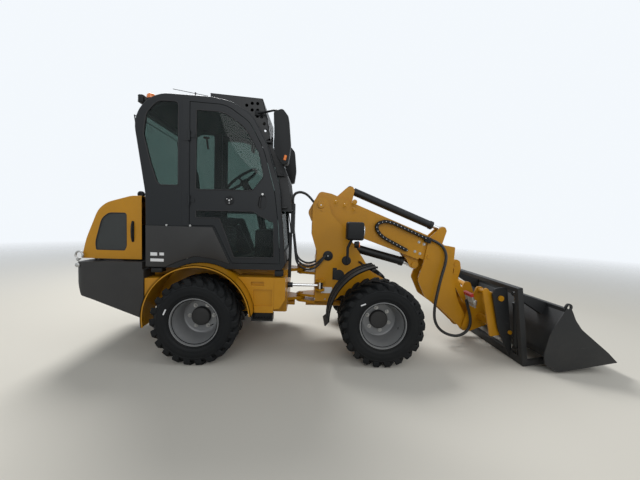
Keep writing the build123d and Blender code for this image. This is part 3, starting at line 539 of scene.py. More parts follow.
class LOADER_OT_stage(bpy.types.Operator):
    """Makes the floor, the light and the camera"""

    bl_idname = "loader.stage"
    bl_label = "Stage"

    def execute(self, context):
        stage = context.scene.loader_stage
        context.scene.view_settings.view_transform = "Standard"
        floor_half = 60
        fade_near = 4.5
        fade_far = 16.0
        bm = bmesh.new()
        bmesh.ops.create_grid(bm, x_segments=1, y_segments=1, size=floor_half)
        floor = mesh_of(bm, "floor")
        ground = linked("floor", floor)
        material = empty_material("floor_finish")
        point = node_of(material, "ShaderNodeTexCoord").outputs["Object"]
        far = node_of(material, "ShaderNodeVectorMath", {0: point}, operation="LENGTH").outputs["Value"]
        shader = node_of(
            material, "ShaderNodeBsdfPrincipled",
            {"Base Color": (*stage.floor, 1), "Roughness": 0.9, "Specular IOR Level": 0.1},
        )
        gone = node_of(material, "ShaderNodeBsdfTransparent")
        fade = node_of(
            material, "ShaderNodeMixShader",
            {0: spread(material, far, fade_near, fade_far), 1: shader.outputs["BSDF"], 2: gone.outputs[0]},
        )
        node_of(material, "ShaderNodeOutputMaterial", {"Surface": fade.outputs[0]})
        floor.materials.append(material)
        world = bpy.data.worlds.new("studio")
        context.scene.world = world
        world.use_nodes = True
        world.node_tree.nodes.clear()
        rays = node_of(world, "ShaderNodeLightPath").outputs
        seen = math(world, "MAXIMUM", rays["Is Camera Ray"], rays["Is Glossy Ray"])
        seen = math(world, "MAXIMUM", seen, rays["Is Transmission Ray"])
        lit = node_of(world, "ShaderNodeBackground", {"Color": (0.90, 0.95, 1.0, 1), "Strength": 0.42})
        shown = node_of(world, "ShaderNodeBackground", {"Color": (0.90, 0.94, 0.98, 1), "Strength": 1.0})
        mix = node_of(world, "ShaderNodeMixShader", {0: seen, 1: lit.outputs[0], 2: shown.outputs[0]})
        node_of(world, "ShaderNodeOutputWorld", {"Surface": mix.outputs[0]})
        lamps = (
            # name, place, size, power
            ("key", (-1.5, 3.5, 7.0), 3.0, 560),
            ("fill", (1.0, -8.0, 5.0), 6.0, 195),
            ("front", (7.5, -3.0, 4.0), 4.0, 90),
        )
        for name, where, size, power in lamps:
            light = bpy.data.lights.new(name, "AREA")
            light.shape = "DISK"
            light.size = size
            light.energy = power
            lamp = linked(name, light)
            at = place(*where)
            lamp.matrix_world = Matrix.Translation(at) @ turn_to(at - place(1.2, 0, 0.8))
        camera = linked("camera", bpy.data.cameras.new("camera"))
        camera.data.sensor_width = 36
        camera.data.lens = stage.focal
        turn = (
            Matrix.Rotation(-stage.yaw, 4, "Z")
            @ Matrix.Rotation(pi / 2 - stage.pitch, 4, "X")
            @ Matrix.Rotation(stage.roll, 4, "Z")
        )
        camera.matrix_world = Matrix.Translation(place(*stage.eye)) @ turn
        context.scene.camera = camera
        return {"FINISHED"}


# Wheels


def wheel_places():
    """Name, forward place and side of each wheel."""
    return (
        ("rear_right", 0.0, -1),
        ("rear_left", 0.0, 1),
        ("front_right", wheelbase, -1),
        ("front_left", wheelbase, 1),
    )


class LOADER_OT_tyres(bpy.types.Operator):
    """Moulded tyres with slanted lugs and ribbed sidewalls"""

    bl_idname = "loader.tyres"
    bl_label = "Tyres"

    def execute(self, context):
        wheels = context.scene.loader_wheels
        carcass_r = tyre_r - wheels.lug_height
        bead_r = rim_r - 0.020
        rows = (
            # across from the middle, radius
            (-tyre_half + 0.040, bead_r),
            (-tyre_half + 0.037, rim_r + 0.002),
            (-tyre_half + 0.022, rim_r + 0.004),
            (-tyre_half + 0.016, rim_r + 0.010),
            (-tyre_half + 0.017, rim_r + 0.016),
            (-tyre_half + 0.008, rim_r + 0.026),
            (-tyre_half + 0.003, rim_r + 0.044),
            (-tyre_half + 0.004, rim_r + 0.047),
            (-tyre_half + 0.001, rim_r + 0.056),
            (-tyre_half + 0.001, rim_r + 0.078),
            (-tyre_half + 0.004, rim_r + 0.096),
            (-tyre_half + 0.002, rim_r + 0.099),
            (-tyre_half + 0.004, rim_r + 0.104),
            (-tyre_half + 0.014, carcass_r - 0.024),
            (-tyre_half + 0.028, carcass_r - 0.010),
            (-tyre_half + 0.050, carcass_r - 0.002),
            (-tyre_half + 0.090, carcass_r),
            (0.0, carcass_r),
        )
        rows += tuple((-along, radius) for along, radius in reversed(rows[:-1]))
        for name, x, side in wheel_places():
            bm = bmesh.new()
            centre = place(x, side * tyre_mid, axle_z)
            add_turned(bm, rows, centre, (0, 1, 0), 96)
            for half in (-1, 1):
                shift = 0.0 if half == side else 0.5
                for n in range(wheels.lugs):
                    start = pi / 2 - 2 * pi * (n + shift) / wheels.lugs
                    self.add_lug(bm, centre, half, start, carcass_r, wheels.lug_height)
            tyre = shaped("tyre_" + name + "_moulded", bm, "tyre_rubber", "wheel_" + name, 40)
            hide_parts("tyre_" + name)
        return {"FINISHED"}

    def add_lug(self, bm, centre, half, start, carcass_r, height):
        """One slanted bar from the middle to the shoulder, set back at its inner end, wider at its foot."""
        slant = 0.062
        stations = (
            # across from the middle, slant from -1 to 1, half width, drop from the crown
            (-0.008, -1.00, 0.021, 0.0),
            (tyre_half * 0.45, -0.15, 0.022, 0.0),
            (tyre_half - 0.026, 0.72, 0.024, 0.0),
            (tyre_half - 0.009, 0.86, 0.025, 0.010),
            (tyre_half - 0.004, 0.96, 0.026, 0.046),
            (tyre_half - 0.012, 1.00, 0.024, 0.070),
        )
        rings = []
        for across, way, width, drop in stations:
            top_r = carcass_r + height - drop
            foot_r = min(carcass_r - 0.006, top_r - 0.012)
            section = (
                # share of the half width, radius
                (-1.22, foot_r),
                (-0.94, top_r - 0.003),
                (-0.82, top_r),
                (0.82, top_r),
                (0.94, top_r - 0.003),
                (1.22, foot_r),
            )
            ring = []
            for step, radius in section:
                angle = start - (slant * way + width * step) / carcass_r
                sink = 0.014 if radius == foot_r and drop > 0.03 else 0.0
                spot = Vector((cos(angle) * radius, half * (across - sink), sin(angle) * radius))
                ring.append(bm.verts.new(centre + spot))
            rings.append(ring)
        for first, second in zip(rings, rings[1:]):
            for n in range(len(first) - 1):
                bm.faces.new((first[n], first[n + 1], second[n + 1], second[n]))
        bm.faces.new(rings[0])
        bm.faces.new(rings[-1])


class LOADER_OT_wheel_fittings(bpy.types.Operator):
    """Wheel nuts, black hub caps, valves and the white marks on the tyres"""

    bl_idname = "loader.wheel_fittings"
    bl_label = "Wheel fittings"

    def execute(self, context):
        nut_circle = context.scene.loader_wheels.nut_circle
        disc_y = 0.532
        cap_r = 0.084
        cap_rows = (
            (0.0, cap_r + 0.002), (0.030, cap_r + 0.001), (0.041, cap_r - 0.004), (0.045, cap_r - 0.014),
            (0.046, 0.02), (0.044, 0.0),
        )
        for name, x, side in wheel_places():
            body = "wheel_" + name
            out = Vector((0, side, 0))
            centre = place(x, side * disc_y, axle_z)
            nuts = bmesh.new()
            for n in range(6):
                angle = pi / 6 + n * pi / 3 + (0.2 if x else 0.55)
                spot = centre + Vector((cos(angle) * nut_circle, 0, sin(angle) * nut_circle))
                add_rod(nuts, spot, spot + out * 0.004, 0.019, 18)
                add_bolt(nuts, spot + out * 0.004, out, 0.011, 0.014)
                add_rod(nuts, spot, spot + out * 0.026, 0.006, 10)
            shaped("nuts_" + name, nuts, "zinc_steel", body)
            cap = bmesh.new()
            add_turned(cap, cap_rows, centre, out, 48)
            for n in range(3):
                angle = n * 2 * pi / 3 + 0.4
                spot = centre + out * 0.043 + Vector((cos(angle), 0, sin(angle))) * (cap_r * 0.7)
                add_rod(cap, spot, spot + out * 0.006, 0.005, 8)
            shaped("hub_cap_" + name, cap, "panel_paint", body)
            valve = bmesh.new()
            spot = place(x, side * (tyre_mid + 0.10), axle_z) + Vector((0.150, 0, -0.030))
            add_rod(valve, spot, spot + out * 0.035 - Vector((0.012, 0, 0)), 0.004, 10)
            shaped("valve_" + name, valve, "black_plastic", body)
            mark = bmesh.new()
            ends = ((-0.226, 0.496), (-0.247, 0.448)) if x == 0 else ((-0.212, 0.562), (-0.169, 0.580))
            first, second = (place(x + a, side * (tyre_mid + tyre_half + 0.0008), z) for a, z in ends)
            way = (second - first).normalized()
            wide = way.cross(Vector((0, 1, 0))) * 0.0055
            add_plate(mark, (first - wide, second - wide, second + wide, first + wide), out * 0.0012)
            shaped("tyre_mark_" + name, mark, "white_paint", body)
        return {"FINISHED"}


# Outlines and solids of the side view


def metres(rows):
    """Rows of millimetres as metres."""
    return tuple(tuple(number / 1000 for number in row) for row in rows)


def inset(rows, by):
    """Rows of an outline moved inwards by a distance."""
    area = sum(rows[n - 1][0] * rows[n][1] - rows[n][0] * rows[n - 1][1] for n in range(len(rows)))
    turn = 1 if area > 0 else -1
    moved = []
    for n, row in enumerate(rows):
        here = Vector(row[:2])
        back = (here - Vector(rows[n - 1][:2])).normalized()
        ahead = (Vector(rows[(n + 1) % len(rows)][:2]) - here).normalized()
        first = Vector((-back.y, back.x)) * turn
        second = Vector((-ahead.y, ahead.x)) * turn
        corner = here + (first + second) * (by / (1 + first.dot(second)))
        outside = turn * (back.x * ahead.y - back.y * ahead.x) > 0
        radius = max(row[2] - by, 0) if outside else row[2] + by
        moved.append((corner.x, corner.y, radius if row[2] else 0))
    return moved


def rounded(rows):
    """Points of an outline of (forward, up, corner radius) rows, its corners as arcs."""
    points = []
    for n, row in enumerate(rows):
        here = Vector(row[:2])
        back = Vector(rows[n - 1][:2]) - here
        ahead = Vector(rows[(n + 1) % len(rows)][:2]) - here
        half = back.angle(ahead) / 2
        reach = min(row[2] / max(sin(half) / cos(half), 1e-6), back.length * 0.49, ahead.length * 0.49)
        if row[2] == 0 or reach < 0.0005 or half > radians(89.5):
            points.append(here)
            continue
        start = here + back.normalized() * reach
        end = here + ahead.normalized() * reach
        radius = reach * sin(half) / cos(half)
        middle = here + (back.normalized() + ahead.normalized()).normalized() * (radius / sin(half))
        steps = max(2, int((pi - 2 * half) / radians(7)) + 1)
        first = start - middle
        sweep = first.angle_signed(end - middle)
        for step in range(steps + 1):
            turned = first.copy()
            turned.rotate(Matrix.Rotation(-sweep * step / steps, 2))
            points.append(middle + turned)
    return points


def slab(rows, y_low, y_high, at=place):
    """Side outline made solid between two planes across the machine."""
    return slab_of(rounded(rows), y_low, y_high, at)


def slab_of(points, y_low, y_high, at=place):
    bm = bmesh.new()
    add_plate(bm, [at(x, y_low, z) for x, z in points], at(0, y_high, 0) - at(0, y_low, 0))
    bmesh.ops.recalc_face_normals(bm, faces=bm.faces[:])
    return bm


def arch_points(centre, radius, thick, start, end, steps=36):
    """Outline of a bent sheet between two angles from the forward horizontal."""
    outline = []
    for r, way in ((radius + thick, range(steps + 1)), (radius, range(steps, -1, -1))):
        for step in way:
            angle = radians(start + (end - start) * step / steps)
            outline.append((centre[0] + r * cos(angle), centre[1] + r * sin(angle)))
    return outline


def block(x_low, x_high, y_low, y_high, z_low, z_high):
    bm = bmesh.new()
    middle = place((x_low + x_high) / 2, (y_low + y_high) / 2, (z_low + z_high) / 2)
    add_box(bm, middle, (x_high - x_low, y_high - y_low, z_high - z_low))
    return bm


def cross_bar(x, z, radius, y_low, y_high, sides=40):
    bm = bmesh.new()
    add_rod(bm, place(x, y_low, z), place(x, y_high, z), radius, sides)
    return bm


def gathered(*shapes):
    """One bmesh of several, which are used up."""
    whole = bmesh.new()
    for shape in shapes:
        mesh = mesh_of(shape, "shape")
        whole.from_mesh(mesh)
        bpy.data.meshes.remove(mesh)
    return whole


def mirrored(bm):
    """Adds the image on the other side of the machine."""
    copy = bmesh.ops.duplicate(bm, geom=bm.verts[:] + bm.edges[:] + bm.faces[:])["geom"]
    verts = [item for item in copy if isinstance(item, bmesh.types.BMVert)]
    bmesh.ops.scale(bm, vec=(1, -1, 1), verts=verts)
    bmesh.ops.reverse_faces(bm, faces=[item for item in copy if isinstance(item, bmesh.types.BMFace)])
    return bm


def worked(first, second, operation="DIFFERENCE"):
    """Boolean of two solids, both used up."""
    holders = [linked("work", mesh_of(bm, "work")) for bm in (first, second)]
    modifier = holders[0].modifiers.new("Boolean", "BOOLEAN")
    modifier.operation = operation
    modifier.solver = "EXACT"
    modifier.object = holders[1]
    bpy.context.view_layer.update()
    result = bpy.data.meshes.new_from_object(holders[0].evaluated_get(bpy.context.evaluated_depsgraph_get()))
    bm = bmesh.new()
    bm.from_mesh(result)
    for holder in holders:
        mesh = holder.data
        bpy.data.objects.remove(holder)
        bpy.data.meshes.remove(mesh)
    bpy.data.meshes.remove(result)
    return bm


def soft_edges(bm, half, radius, lowest, hindmost, segments=6):
    """Rounds the outer side edges of a slab above a height, with edges forward of a place left sharp."""
    edges = [
        edge for edge in bm.edges
        if all(abs(abs(vert.co.y) - half) < 1e-4 for vert in edge.verts)
        and (edge.verts[0].co.z + edge.verts[1].co.z) / 2 > lowest
        and (edge.verts[0].co.x + edge.verts[1].co.x) / 2 - rear_x < hindmost
    ]
    bevel_edges(bm, edges, radius, segments)
    return bm


def add_seal(bm, rows, y, thick):
    """Closed bead just inside an outline, at one distance from the middle."""
    add_tube(bm, side_line(rounded(inset(rows, 0.003)), y), thick, closed=True)


# Hood

hood_half = 0.505
hood_rows = metres((
    (-560, 880, 0),
    (-560, 1462, 0),
    (-650, 1462, 200),
    (-930, 1378, 220),
    (-1056, 1060, 600),
    (-1098, 880, 0),
))
grille_rows = metres((
    (-966, 958, 14),
    (-974, 1030, 200),
    (-915, 1250, 200),
    (-850, 1302, 80),
    (-692, 1305, 24),
    (-692, 1000, 40),
    (-710, 958, 14),
))
handle_plate_rows = metres(((-649, 1040, 10), (-625, 1040, 10), (-625, 1230, 10), (-649, 1230, 10)))


class LOADER_OT_hood(bpy.types.Operator):
    """Rounded hood with its side grilles, rear louvres and handles"""

    bl_idname = "loader.hood"
    bl_label = "Hood"

    def execute(self, context):
        wall = 0.006
        open_over = 0.020
        shell = soft_edges(slab(hood_rows, -hood_half, hood_half), hood_half, 0.070, 0.90, -0.565)
        inner_rows = [
            (x + (wall if x < -0.57 else open_over), z - (wall if z > 0.89 else open_over), radius)
            for x, z, radius in hood_rows
        ]
        void = soft_edges(
            slab(inner_rows, wall - hood_half, hood_half - wall), hood_half - wall, 0.064, 0.90, -0.545
        )
        shell = worked(shell, void)
        shell = worked(shell, slab(grille_rows, -hood_half - 0.01, hood_half + 0.01))
        louvre_pitch = 0.026
        louvres = [
            block(-1.13, -1.0, -0.30, 0.30, 0.95 + louvre_pitch * n, 0.962 + louvre_pitch * n)
            for n in range(9)
        ]
        shell = worked(shell, gathered(*louvres))
        piece = shaped("hood_shell", shell, "ochre_paint", "hood")
        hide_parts("hood")
        grilles = mirrored(slab(inset(grille_rows, 0.0005), hood_half - 0.012, hood_half - 0.005))
        piece = shaped("hood_grilles", grilles, "grille_mesh", "hood")
        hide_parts("hood_trim")
        seals = bmesh.new()
        add_seal(seals, grille_rows, hood_half - 0.003, 0.0045)
        shaped("grille_seals", mirrored(seals), "seal_rubber", "hood")
        handles = bmesh.new()
        handle_x = -0.637
        foot = hood_half + 0.004
        grip = hood_half + 0.024
        add_plate(handles, side_line(rounded(handle_plate_rows), hood_half), (0, 0.004, 0))
        route = places(
            (handle_x, foot, 1.050), (handle_x, grip, 1.070), (handle_x, grip, 1.200), (handle_x, foot, 1.220)
        )
        add_tube(handles, route, 0.008, kind="NURBS", sides=4)
        for z in (1.046, 1.224):
            add_bolt(handles, place(handle_x, hood_half + 0.003, z), (0, 1, 0), 0.006)
        shaped("hood_handles", mirrored(handles), "black_plastic", "hood")
        buffers = bmesh.new()
        rows = ((0.0, 0.030), (0.022, 0.030), (0.030, 0.024), (0.030, 0.011), (0.024, 0.010), (0.024, 0.0))
        add_turned(buffers, rows, place(-0.590, 0.440, 1.478), (0, 1, 0), 32)
        add_rod(buffers, *places((-0.590, 0.450, 1.478), (-0.512, 0.450, 1.478)), 0.011)
        shaped("hood_buffers", mirrored(buffers), "black_plastic", "rear")
        return {"FINISHED"}


# Cab

cab_wall = 0.040
cab_rows = metres((
    (-502, 820, 0),
    (-508, 1480, 500),
    (-648, 2376, 310),
    (60, 2358, 700),
    (255, 2324, 300),
    (430, 2216, 250),
    (575, 1960, 500),
    (690, 1590, 700),
    (757, 872, 0),
    (722, 820, 0),
))
door_rows = metres((
    (-118, 1206, 6),
    (104, 1208, 20),
    (268, 872, 20),
    (712, 876, 14),
    (688, 1230, 400),
    (648, 1540, 600),
    (540, 1920, 500),
    (415, 2148, 260),
    (205, 2292, 260),
    (-118, 2306, 8),
))
quarter_rows = metres((
    (-212, 1560, 24),
    (-398, 1560, 60),
    (-464, 1760, 400),
    (-526, 2010, 160),
    (-500, 2190, 150),
    (-400, 2304, 110),
    (-212, 2304, 40),
))
side_panel_rows = metres((
    (-502, 1200, 0),
    (94, 1200, 0),
    (256, 862, 0),
    (120, 905, 80),
    (-60, 930, 120),
    (-215, 875, 60),
    (-325, 822, 10),
    (-502, 822, 0),
))
upper_glass_rows = metres((
    (-64, 1530, 22),
    (450, 1538, 50),
    (550, 1668, 60),
    (505, 1880, 300),
    (370, 2110, 300),
    (180, 2230, 250),
    (-64, 2238, 20),
))
lower_glass_rows = metres((
    (-62, 1350, 14),
    (455, 1357, 50),
    (560, 1296, 60),
    (646, 1262, 20),
    (656, 928, 25),
    (284, 924, 25),
    (150, 1280, 25),
    (-62, 1276, 12),
))
screen_half = 0.470
pane_low = cab_half - 0.010
pane_high = cab_half - 0.004
strap_depths = (cab_half - 0.002, cab_half + 0.006)
hinge_heights = (1.390, 1.960)
grip_x, grip_z = 0.534, 1.442
pocket_corners = ((-0.046, -0.058), (0.026, -0.066), (0.044, 0.056), (-0.024, 0.066))
pocket_rows = [(grip_x + a, grip_z + b, 0.044) for a, b in pocket_corners]
pull_line = [(grip_x + a, grip_z + b) for a, b in ((-0.020, -0.048), (-0.026, 0), (-0.012, 0.050))]


def cab_skin():
    return soft_edges(slab(cab_rows, -cab_half, cab_half), cab_half, 0.060, 1.0, 9.0)


def two_sided(side, near, far):
    """The two distances from the middle on one side, lower first."""
    return sorted((side * near, side * far))


class LOADER_OT_cab(bpy.types.Operator):
    """Cab shell with rounded roof edges, its doors, side panels and panes"""

    bl_idname = "loader.cab"
    bl_label = "Cab"

    def execute(self, context):
        shell = worked(cab_skin(), slab(inset(cab_rows, cab_wall), cab_wall - cab_half, cab_half - cab_wall))
        wide = cab_half + 0.02
        shell = worked(shell, slab(door_rows, -wide, wide))
        shell = worked(shell, slab(quarter_rows, -wide, wide))
        sides = mirrored(slab(side_panel_rows, cab_half - cab_wall, wide))
        shell = worked(shell, sides)
        screens = gathered(
            block(0.40, 0.90, -screen_half, screen_half, 0.98, 2.17),
            block(-0.80, -0.43, -screen_half, screen_half, 1.56, 2.20),
        )
        shell = worked(shell, screens)
        shell = worked(shell, mirrored(cross_bar(0, 0.390, 0.484, 0.40, 0.70, 72)))
        floor = block(-0.47, 0.70, cab_wall - cab_half, cab_half - cab_wall, 0.822, 0.8625)
        for side in (-1, 1):
            pin_y = side * (cab_half + 0.013)
            for z in hinge_heights:
                leaf = block(-0.165, -0.116, *two_sided(side, *strap_depths), z, z + 0.09)
                pin = bmesh.new()
                add_rod(pin, *places((-0.118, pin_y, z), (-0.118, pin_y, z + 0.09)), 0.010)
                floor = gathered(floor, leaf, pin)
            strip = block(-0.184, -0.124, *two_sided(side, cab_half - 0.002, cab_half + 0.0025), 1.206, 2.330)
            bevelled(strip, strip.verts[:], 0.002, 1)
            floor = gathered(floor, strip)
        piece = shaped("cab_shell", gathered(shell, floor), "charcoal_paint", "rear")
        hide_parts("cab_body")
        outside = cab_half + 0.008
        panels = mirrored(slab(inset(side_panel_rows, 0.002), cab_half - cab_wall + 0.001, outside))
        edges = [
            edge for edge in panels.edges if all(abs(abs(vert.co.y) - outside) < 1e-4 for vert in edge.verts)
        ]
        bevel_edges(panels, edges, 0.004)
        piece = shaped("cab_panels", panels, "panel_paint", "rear")
        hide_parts("cab_side_panels")
        quarters = mirrored(slab(inset(quarter_rows, 0.0005), pane_low, pane_high))
        bent = slab(inset(cab_rows, 0.014), 0.0005 - screen_half, screen_half - 0.0005)
        bent = worked(bent, slab(inset(cab_rows, 0.020), -cab_half, cab_half))
        cuts = gathered(
            block(0.40, 0.90, -cab_half, cab_half, 0.9805, 2.1695),
            block(-0.80, -0.43, -cab_half, cab_half, 1.5605, 2.1995),
        )
        bent = worked(bent, cuts, "INTERSECT")
        piece = shaped("cab_panes", gathered(quarters, bent), "tinted_glass", "rear")
        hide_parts("cab_glass")
        for name, side in (("right", -1), ("left", 1)):
            self.make_door(name, side)
        return {"FINISHED"}

    def make_door(self, name, side):
        body = "door_" + name
        leaf = slab(inset(door_rows, 0.005), *two_sided(side, cab_half - 0.036, cab_half + 0.001))
        leaf = worked(leaf, cab_skin(), "INTERSECT")
        deep = two_sided(side, cab_half - 0.05, cab_half + 0.02)
        leaf = worked(leaf, gathered(slab(upper_glass_rows, *deep), slab(lower_glass_rows, *deep)))
        leaf = worked(leaf, slab(pocket_rows, *two_sided(side, cab_half - 0.016, cab_half + 0.02)))
        for z in hinge_heights:
            leaf = gathered(leaf, block(-0.1125, -0.07, *two_sided(side, *strap_depths), z + 0.03, z + 0.06))
        piece = shaped("door_leaf_" + name, leaf, "charcoal_paint", body)
        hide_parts("door_" + name)
        span = two_sided(side, pane_low, pane_high)
        panes = gathered(*(slab(inset(rows, 0.0005), *span) for rows in (upper_glass_rows, lower_glass_rows)))
        piece = shaped("door_panes_" + name, panes, "tinted_glass", body)
        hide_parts("door_glass_" + name)
        seals = bmesh.new()
        thick = bpy.context.scene.loader_cab.seal / 2
        for rows in (upper_glass_rows, lower_glass_rows):
            add_seal(seals, rows, side * (cab_half - 0.002), thick)
        add_tube(seals, side_line(pull_line, side * (cab_half - 0.010)), 0.008, kind="NURBS", sides=4)
        add_tube(seals, side_line(rounded(pocket_rows), side * (cab_half + 0.0005)), 0.0035, closed=True)
        shaped("door_seals_" + name, seals, "seal_rubber", body)
        lock = bmesh.new()
        out = Vector((0, side, 0))
        centre = place(0.240, side * cab_half, 1.446)
        rows = ((0.0, 0.042), (0.003, 0.042), (0.006, 0.038), (0.006, 0.030), (0.003, 0.028), (0.003, 0.0))
        add_turned(lock, rows, centre, out, 40)
        shaped("door_lock_" + name, lock, "black_plastic", body)
        studs = bmesh.new()
        add_rod(studs, centre, centre + out * 0.009, 0.008)
        for n in range(3):
            angle = pi / 6 + n * 2 * pi / 3
            spot = centre + Vector((cos(angle), 0, sin(angle))) * 0.024
            add_rod(studs, spot, spot + out * 0.006, 0.0045, 10)
        key = place(grip_x + 0.004, side * (cab_half - 0.016), grip_z + 0.070)
        add_rod(studs, key, key + out * 0.022, 0.010, 14)
        shaped("door_studs_" + name, studs, "zinc_steel", body)


# Roof visor, guard, mirrors and lamps

visor_half = 0.446
visor_line = metres(((30, 2424, 4), (507, 2396, 4), (551, 2226, 200), (581, 2044, 6)))
visor_holes = metres((
    (360, 2330), (410, 2350), (460, 2350), (410, 2290), (460, 2290), (500, 2230), (460, 2235), (525, 2170),
    (540, 2110),
))
guard_line = metres(((612, 2020), (745, 1700), (794, 1380)))
guard_side_rows = metres((
    (560, 2010, 0), (612, 2030, 8), (748, 1705, 200), (802, 1366, 8), (680, 1366, 0), (560, 1900, 0),
))
mirror_rows = metres((
    (642, 2187, 20), (716, 2216, 30), (768, 2152, 60), (791, 1918, 200), (772, 1766, 20), (727, 1752, 20),
    (659, 1845, 60),
))


class LOADER_OT_visor(bpy.types.Operator):
    """Perforated roof visor and the rod guard before the windscreen"""

    bl_idname = "loader.visor"
    bl_label = "Visor and guard"

    def execute(self, context):
        side = slab((*visor_line, (0.520, 2.000, 0), (0.030, 2.300, 0)), visor_half - 0.005, visor_half)
        side = worked(side, gathered(*(cross_bar(x, z, 0.015, 0.40, 0.49, 20) for x, z in visor_holes)))
        under = [(x - 0.005, z - 0.005, r) for x, z, r in visor_line]
        sheet = slab((*visor_line, *reversed(under)), -visor_half, visor_half)
        slots = [
            block(0.48, 0.62, y - 0.040, y + 0.040, z, z + 0.026)
            for y in (n * 0.130 for n in range(-3, 4)) for z in (2.080, 2.150, 2.215, 2.290)
        ]
        sheet = worked(sheet, gathered(*slots))
        visor = worked(gathered(mirrored(side), sheet), cab_skin())
        piece = shaped("visor_sheet", visor, "black_paint", "rear")
        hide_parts("roof_visor")
        guard = mirrored(worked(slab(guard_side_rows, visor_half - 0.005, visor_half), cab_skin()))
        for y in (n * 0.1 for n in range(-4, 5)):
            add_tube(guard, side_line(guard_line, y), 0.008)
        for x, z in guard_line:
            add_rod(guard, place(x, 0.003 - visor_half, z), place(x, visor_half - 0.003, z), 0.010)
        for x, high, z in ((0.720, 0.080, 1.392), (0.682, 0.085, 1.690), (0.563, 0.066, 1.990)):
            for y in (-1, 1):
                add_box(guard, place(x, y * (visor_half + 0.018), z + 0.009), (high, 0.044, 0.018), 0.003)
                add_bolt(guard, place(x + 0.01, y * (visor_half + 0.026), z + 0.018), (0, 0, 1), 0.007)
        piece = shaped("windscreen_guard", guard, "black_paint", "rear")
        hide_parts("cab_guard")
        return {"FINISHED"}


class LOADER_OT_mirrors(bpy.types.Operator):
    """Outside mirrors on their arms, with glass and markers"""

    bl_idname = "loader.mirrors"
    bl_label = "Mirrors"

    def execute(self, context):
        heads = bmesh.new()
        glass = bmesh.new()
        markers = bmesh.new()
        for side in (-1, 1):
            y = side * (cab_half + 0.130)
            head = slab(mirror_rows, *sorted((y - 0.060, y + 0.060)))
            bevelled(head, head.verts[:], 0.012, 3)
            heads = gathered(heads, head)
            arm = places(
                (0.465, side * 0.452, 2.260), (0.56, side * 0.50, 2.262), (0.66, y, 2.225), (0.700, y, 2.190)
            )
            add_tube(heads, arm, 0.010, kind="NURBS", sides=4)
            add_box(heads, place(0.465, side * 0.4535, 2.26), (0.055, 0.015, 0.045), 0.004)
            stay = places((0.599, side * 0.462, 2.025), (0.63, side * 0.56, 2.03), (0.670, y, 2.020))
            add_tube(heads, stay, 0.008, kind="NURBS", sides=4)
            add_box(glass, place(0.646, y, 2.01), (0.006, 0.096, 0.25), 0.002)
            marker = places((0.742, y + side * 0.058, 1.79), (0.752, y + side * 0.060, 1.83))
            add_tube(markers, marker, 0.012, sides=4)
        piece = shaped("mirror_heads", heads, "black_plastic", "rear")
        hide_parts("mirrors")
        shaped("mirror_glass", glass, "mirror_glass", "rear")
        shaped("mirror_markers", markers, "orange_lens", "rear")
        return {"FINISHED"}


class LOADER_OT_lamps(bpy.types.Operator):
    """Beacon, rear work lamps, boom tower lamps and tail lamps"""

    bl_idname = "loader.lamps"
    bl_label = "Lamps"

    def execute(self, context):
        dome = bmesh.new()
        lean = (-0.12, 0, 1)
        rows = ((0.0, 0.037), (0.022, 0.038), (0.034, 0.034), (0.042, 0.024), (0.045, 0.0))
        add_turned(dome, rows, place(-0.488, -0.470, 2.338), lean, 40)
        piece = shaped("beacon_dome", dome, "orange_lens", "rear")
        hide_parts("beacon")
        feet = bmesh.new()
        add_cap(feet, place(-0.487, -0.470, 2.326), lean, (0.040, 0.034), (0.010, 0.014), 40)
        add_rod(feet, *places((-0.486, -0.470, 2.250), (-0.486, -0.470, 2.330)), 0.012)
        lens = bmesh.new()
        for side in (-1, 1):
            lamp = bmesh.new()
            add_box(lamp, place(-0.568, side * 0.466, 2.327), (0.050, 0.080, 0.074), 0.012)
            add_box(lamp, place(-0.56, side * 0.466, 2.21), (0.012, 0.020, 0.18), 0.003)
            feet = gathered(feet, lamp)
            add_box(lens, place(-0.594, side * 0.466, 2.327), (0.004, 0.066, 0.060), 0.0015)
        piece = shaped("rear_lamps", feet, "black_plastic", "rear")
        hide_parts("work_lamps")
        shaped("rear_lamp_lenses", lens, "lamp_lens", "rear")
        boxes = bmesh.new()
        glass = bmesh.new()
        signals = bmesh.new()
        ahead = (1, 0, 0)
        for side in (-1, 1):
            y = side * 0.350
            signal_y = y + side * 0.04
            add_box(boxes, place(1.425, y, 1.198), (0.170, 0.130, 0.180), 0.022, segments=3)
            add_tube(boxes, places((1.36, y, 0.870), (1.36, y, 1.03), (1.40, y, 1.12)), 0.014, sides=3)
            rows = ((-0.02, 0.0), (-0.02, 0.030), (0.02, 0.036), (0.02, 0.0))
            add_turned(boxes, rows, place(1.44, signal_y, 1.066), ahead, 24)
            rows = ((0, 0.0), (0, 0.062), (0.006, 0.060), (0.012, 0.040), (0.014, 0.0))
            add_turned(glass, rows, place(1.5085, y, 1.200), ahead, 32)
            rows = ((0, 0.0), (0, 0.030), (0.010, 0.024), (0.014, 0.0))
            add_turned(signals, rows, place(1.461, signal_y, 1.066), ahead, 24)
        piece = shaped("front_lamp_boxes", boxes, "black_plastic", "front")
        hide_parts("front_lamps")
        shaped("front_lamp_glass", glass, "lamp_lens", "front")
        shaped("front_signals", signals, "orange_lens", "front")
        tail = bmesh.new()
        for side in (-1, 1):
            add_box(tail, place(-1.1285, side * 0.405, 0.786), (0.012, 0.090, 0.052), 0.004)
        shaped("tail_lamps", tail, "red_lens", "rear")
        return {"FINISHED"}


# Fenders, side tanks and steps

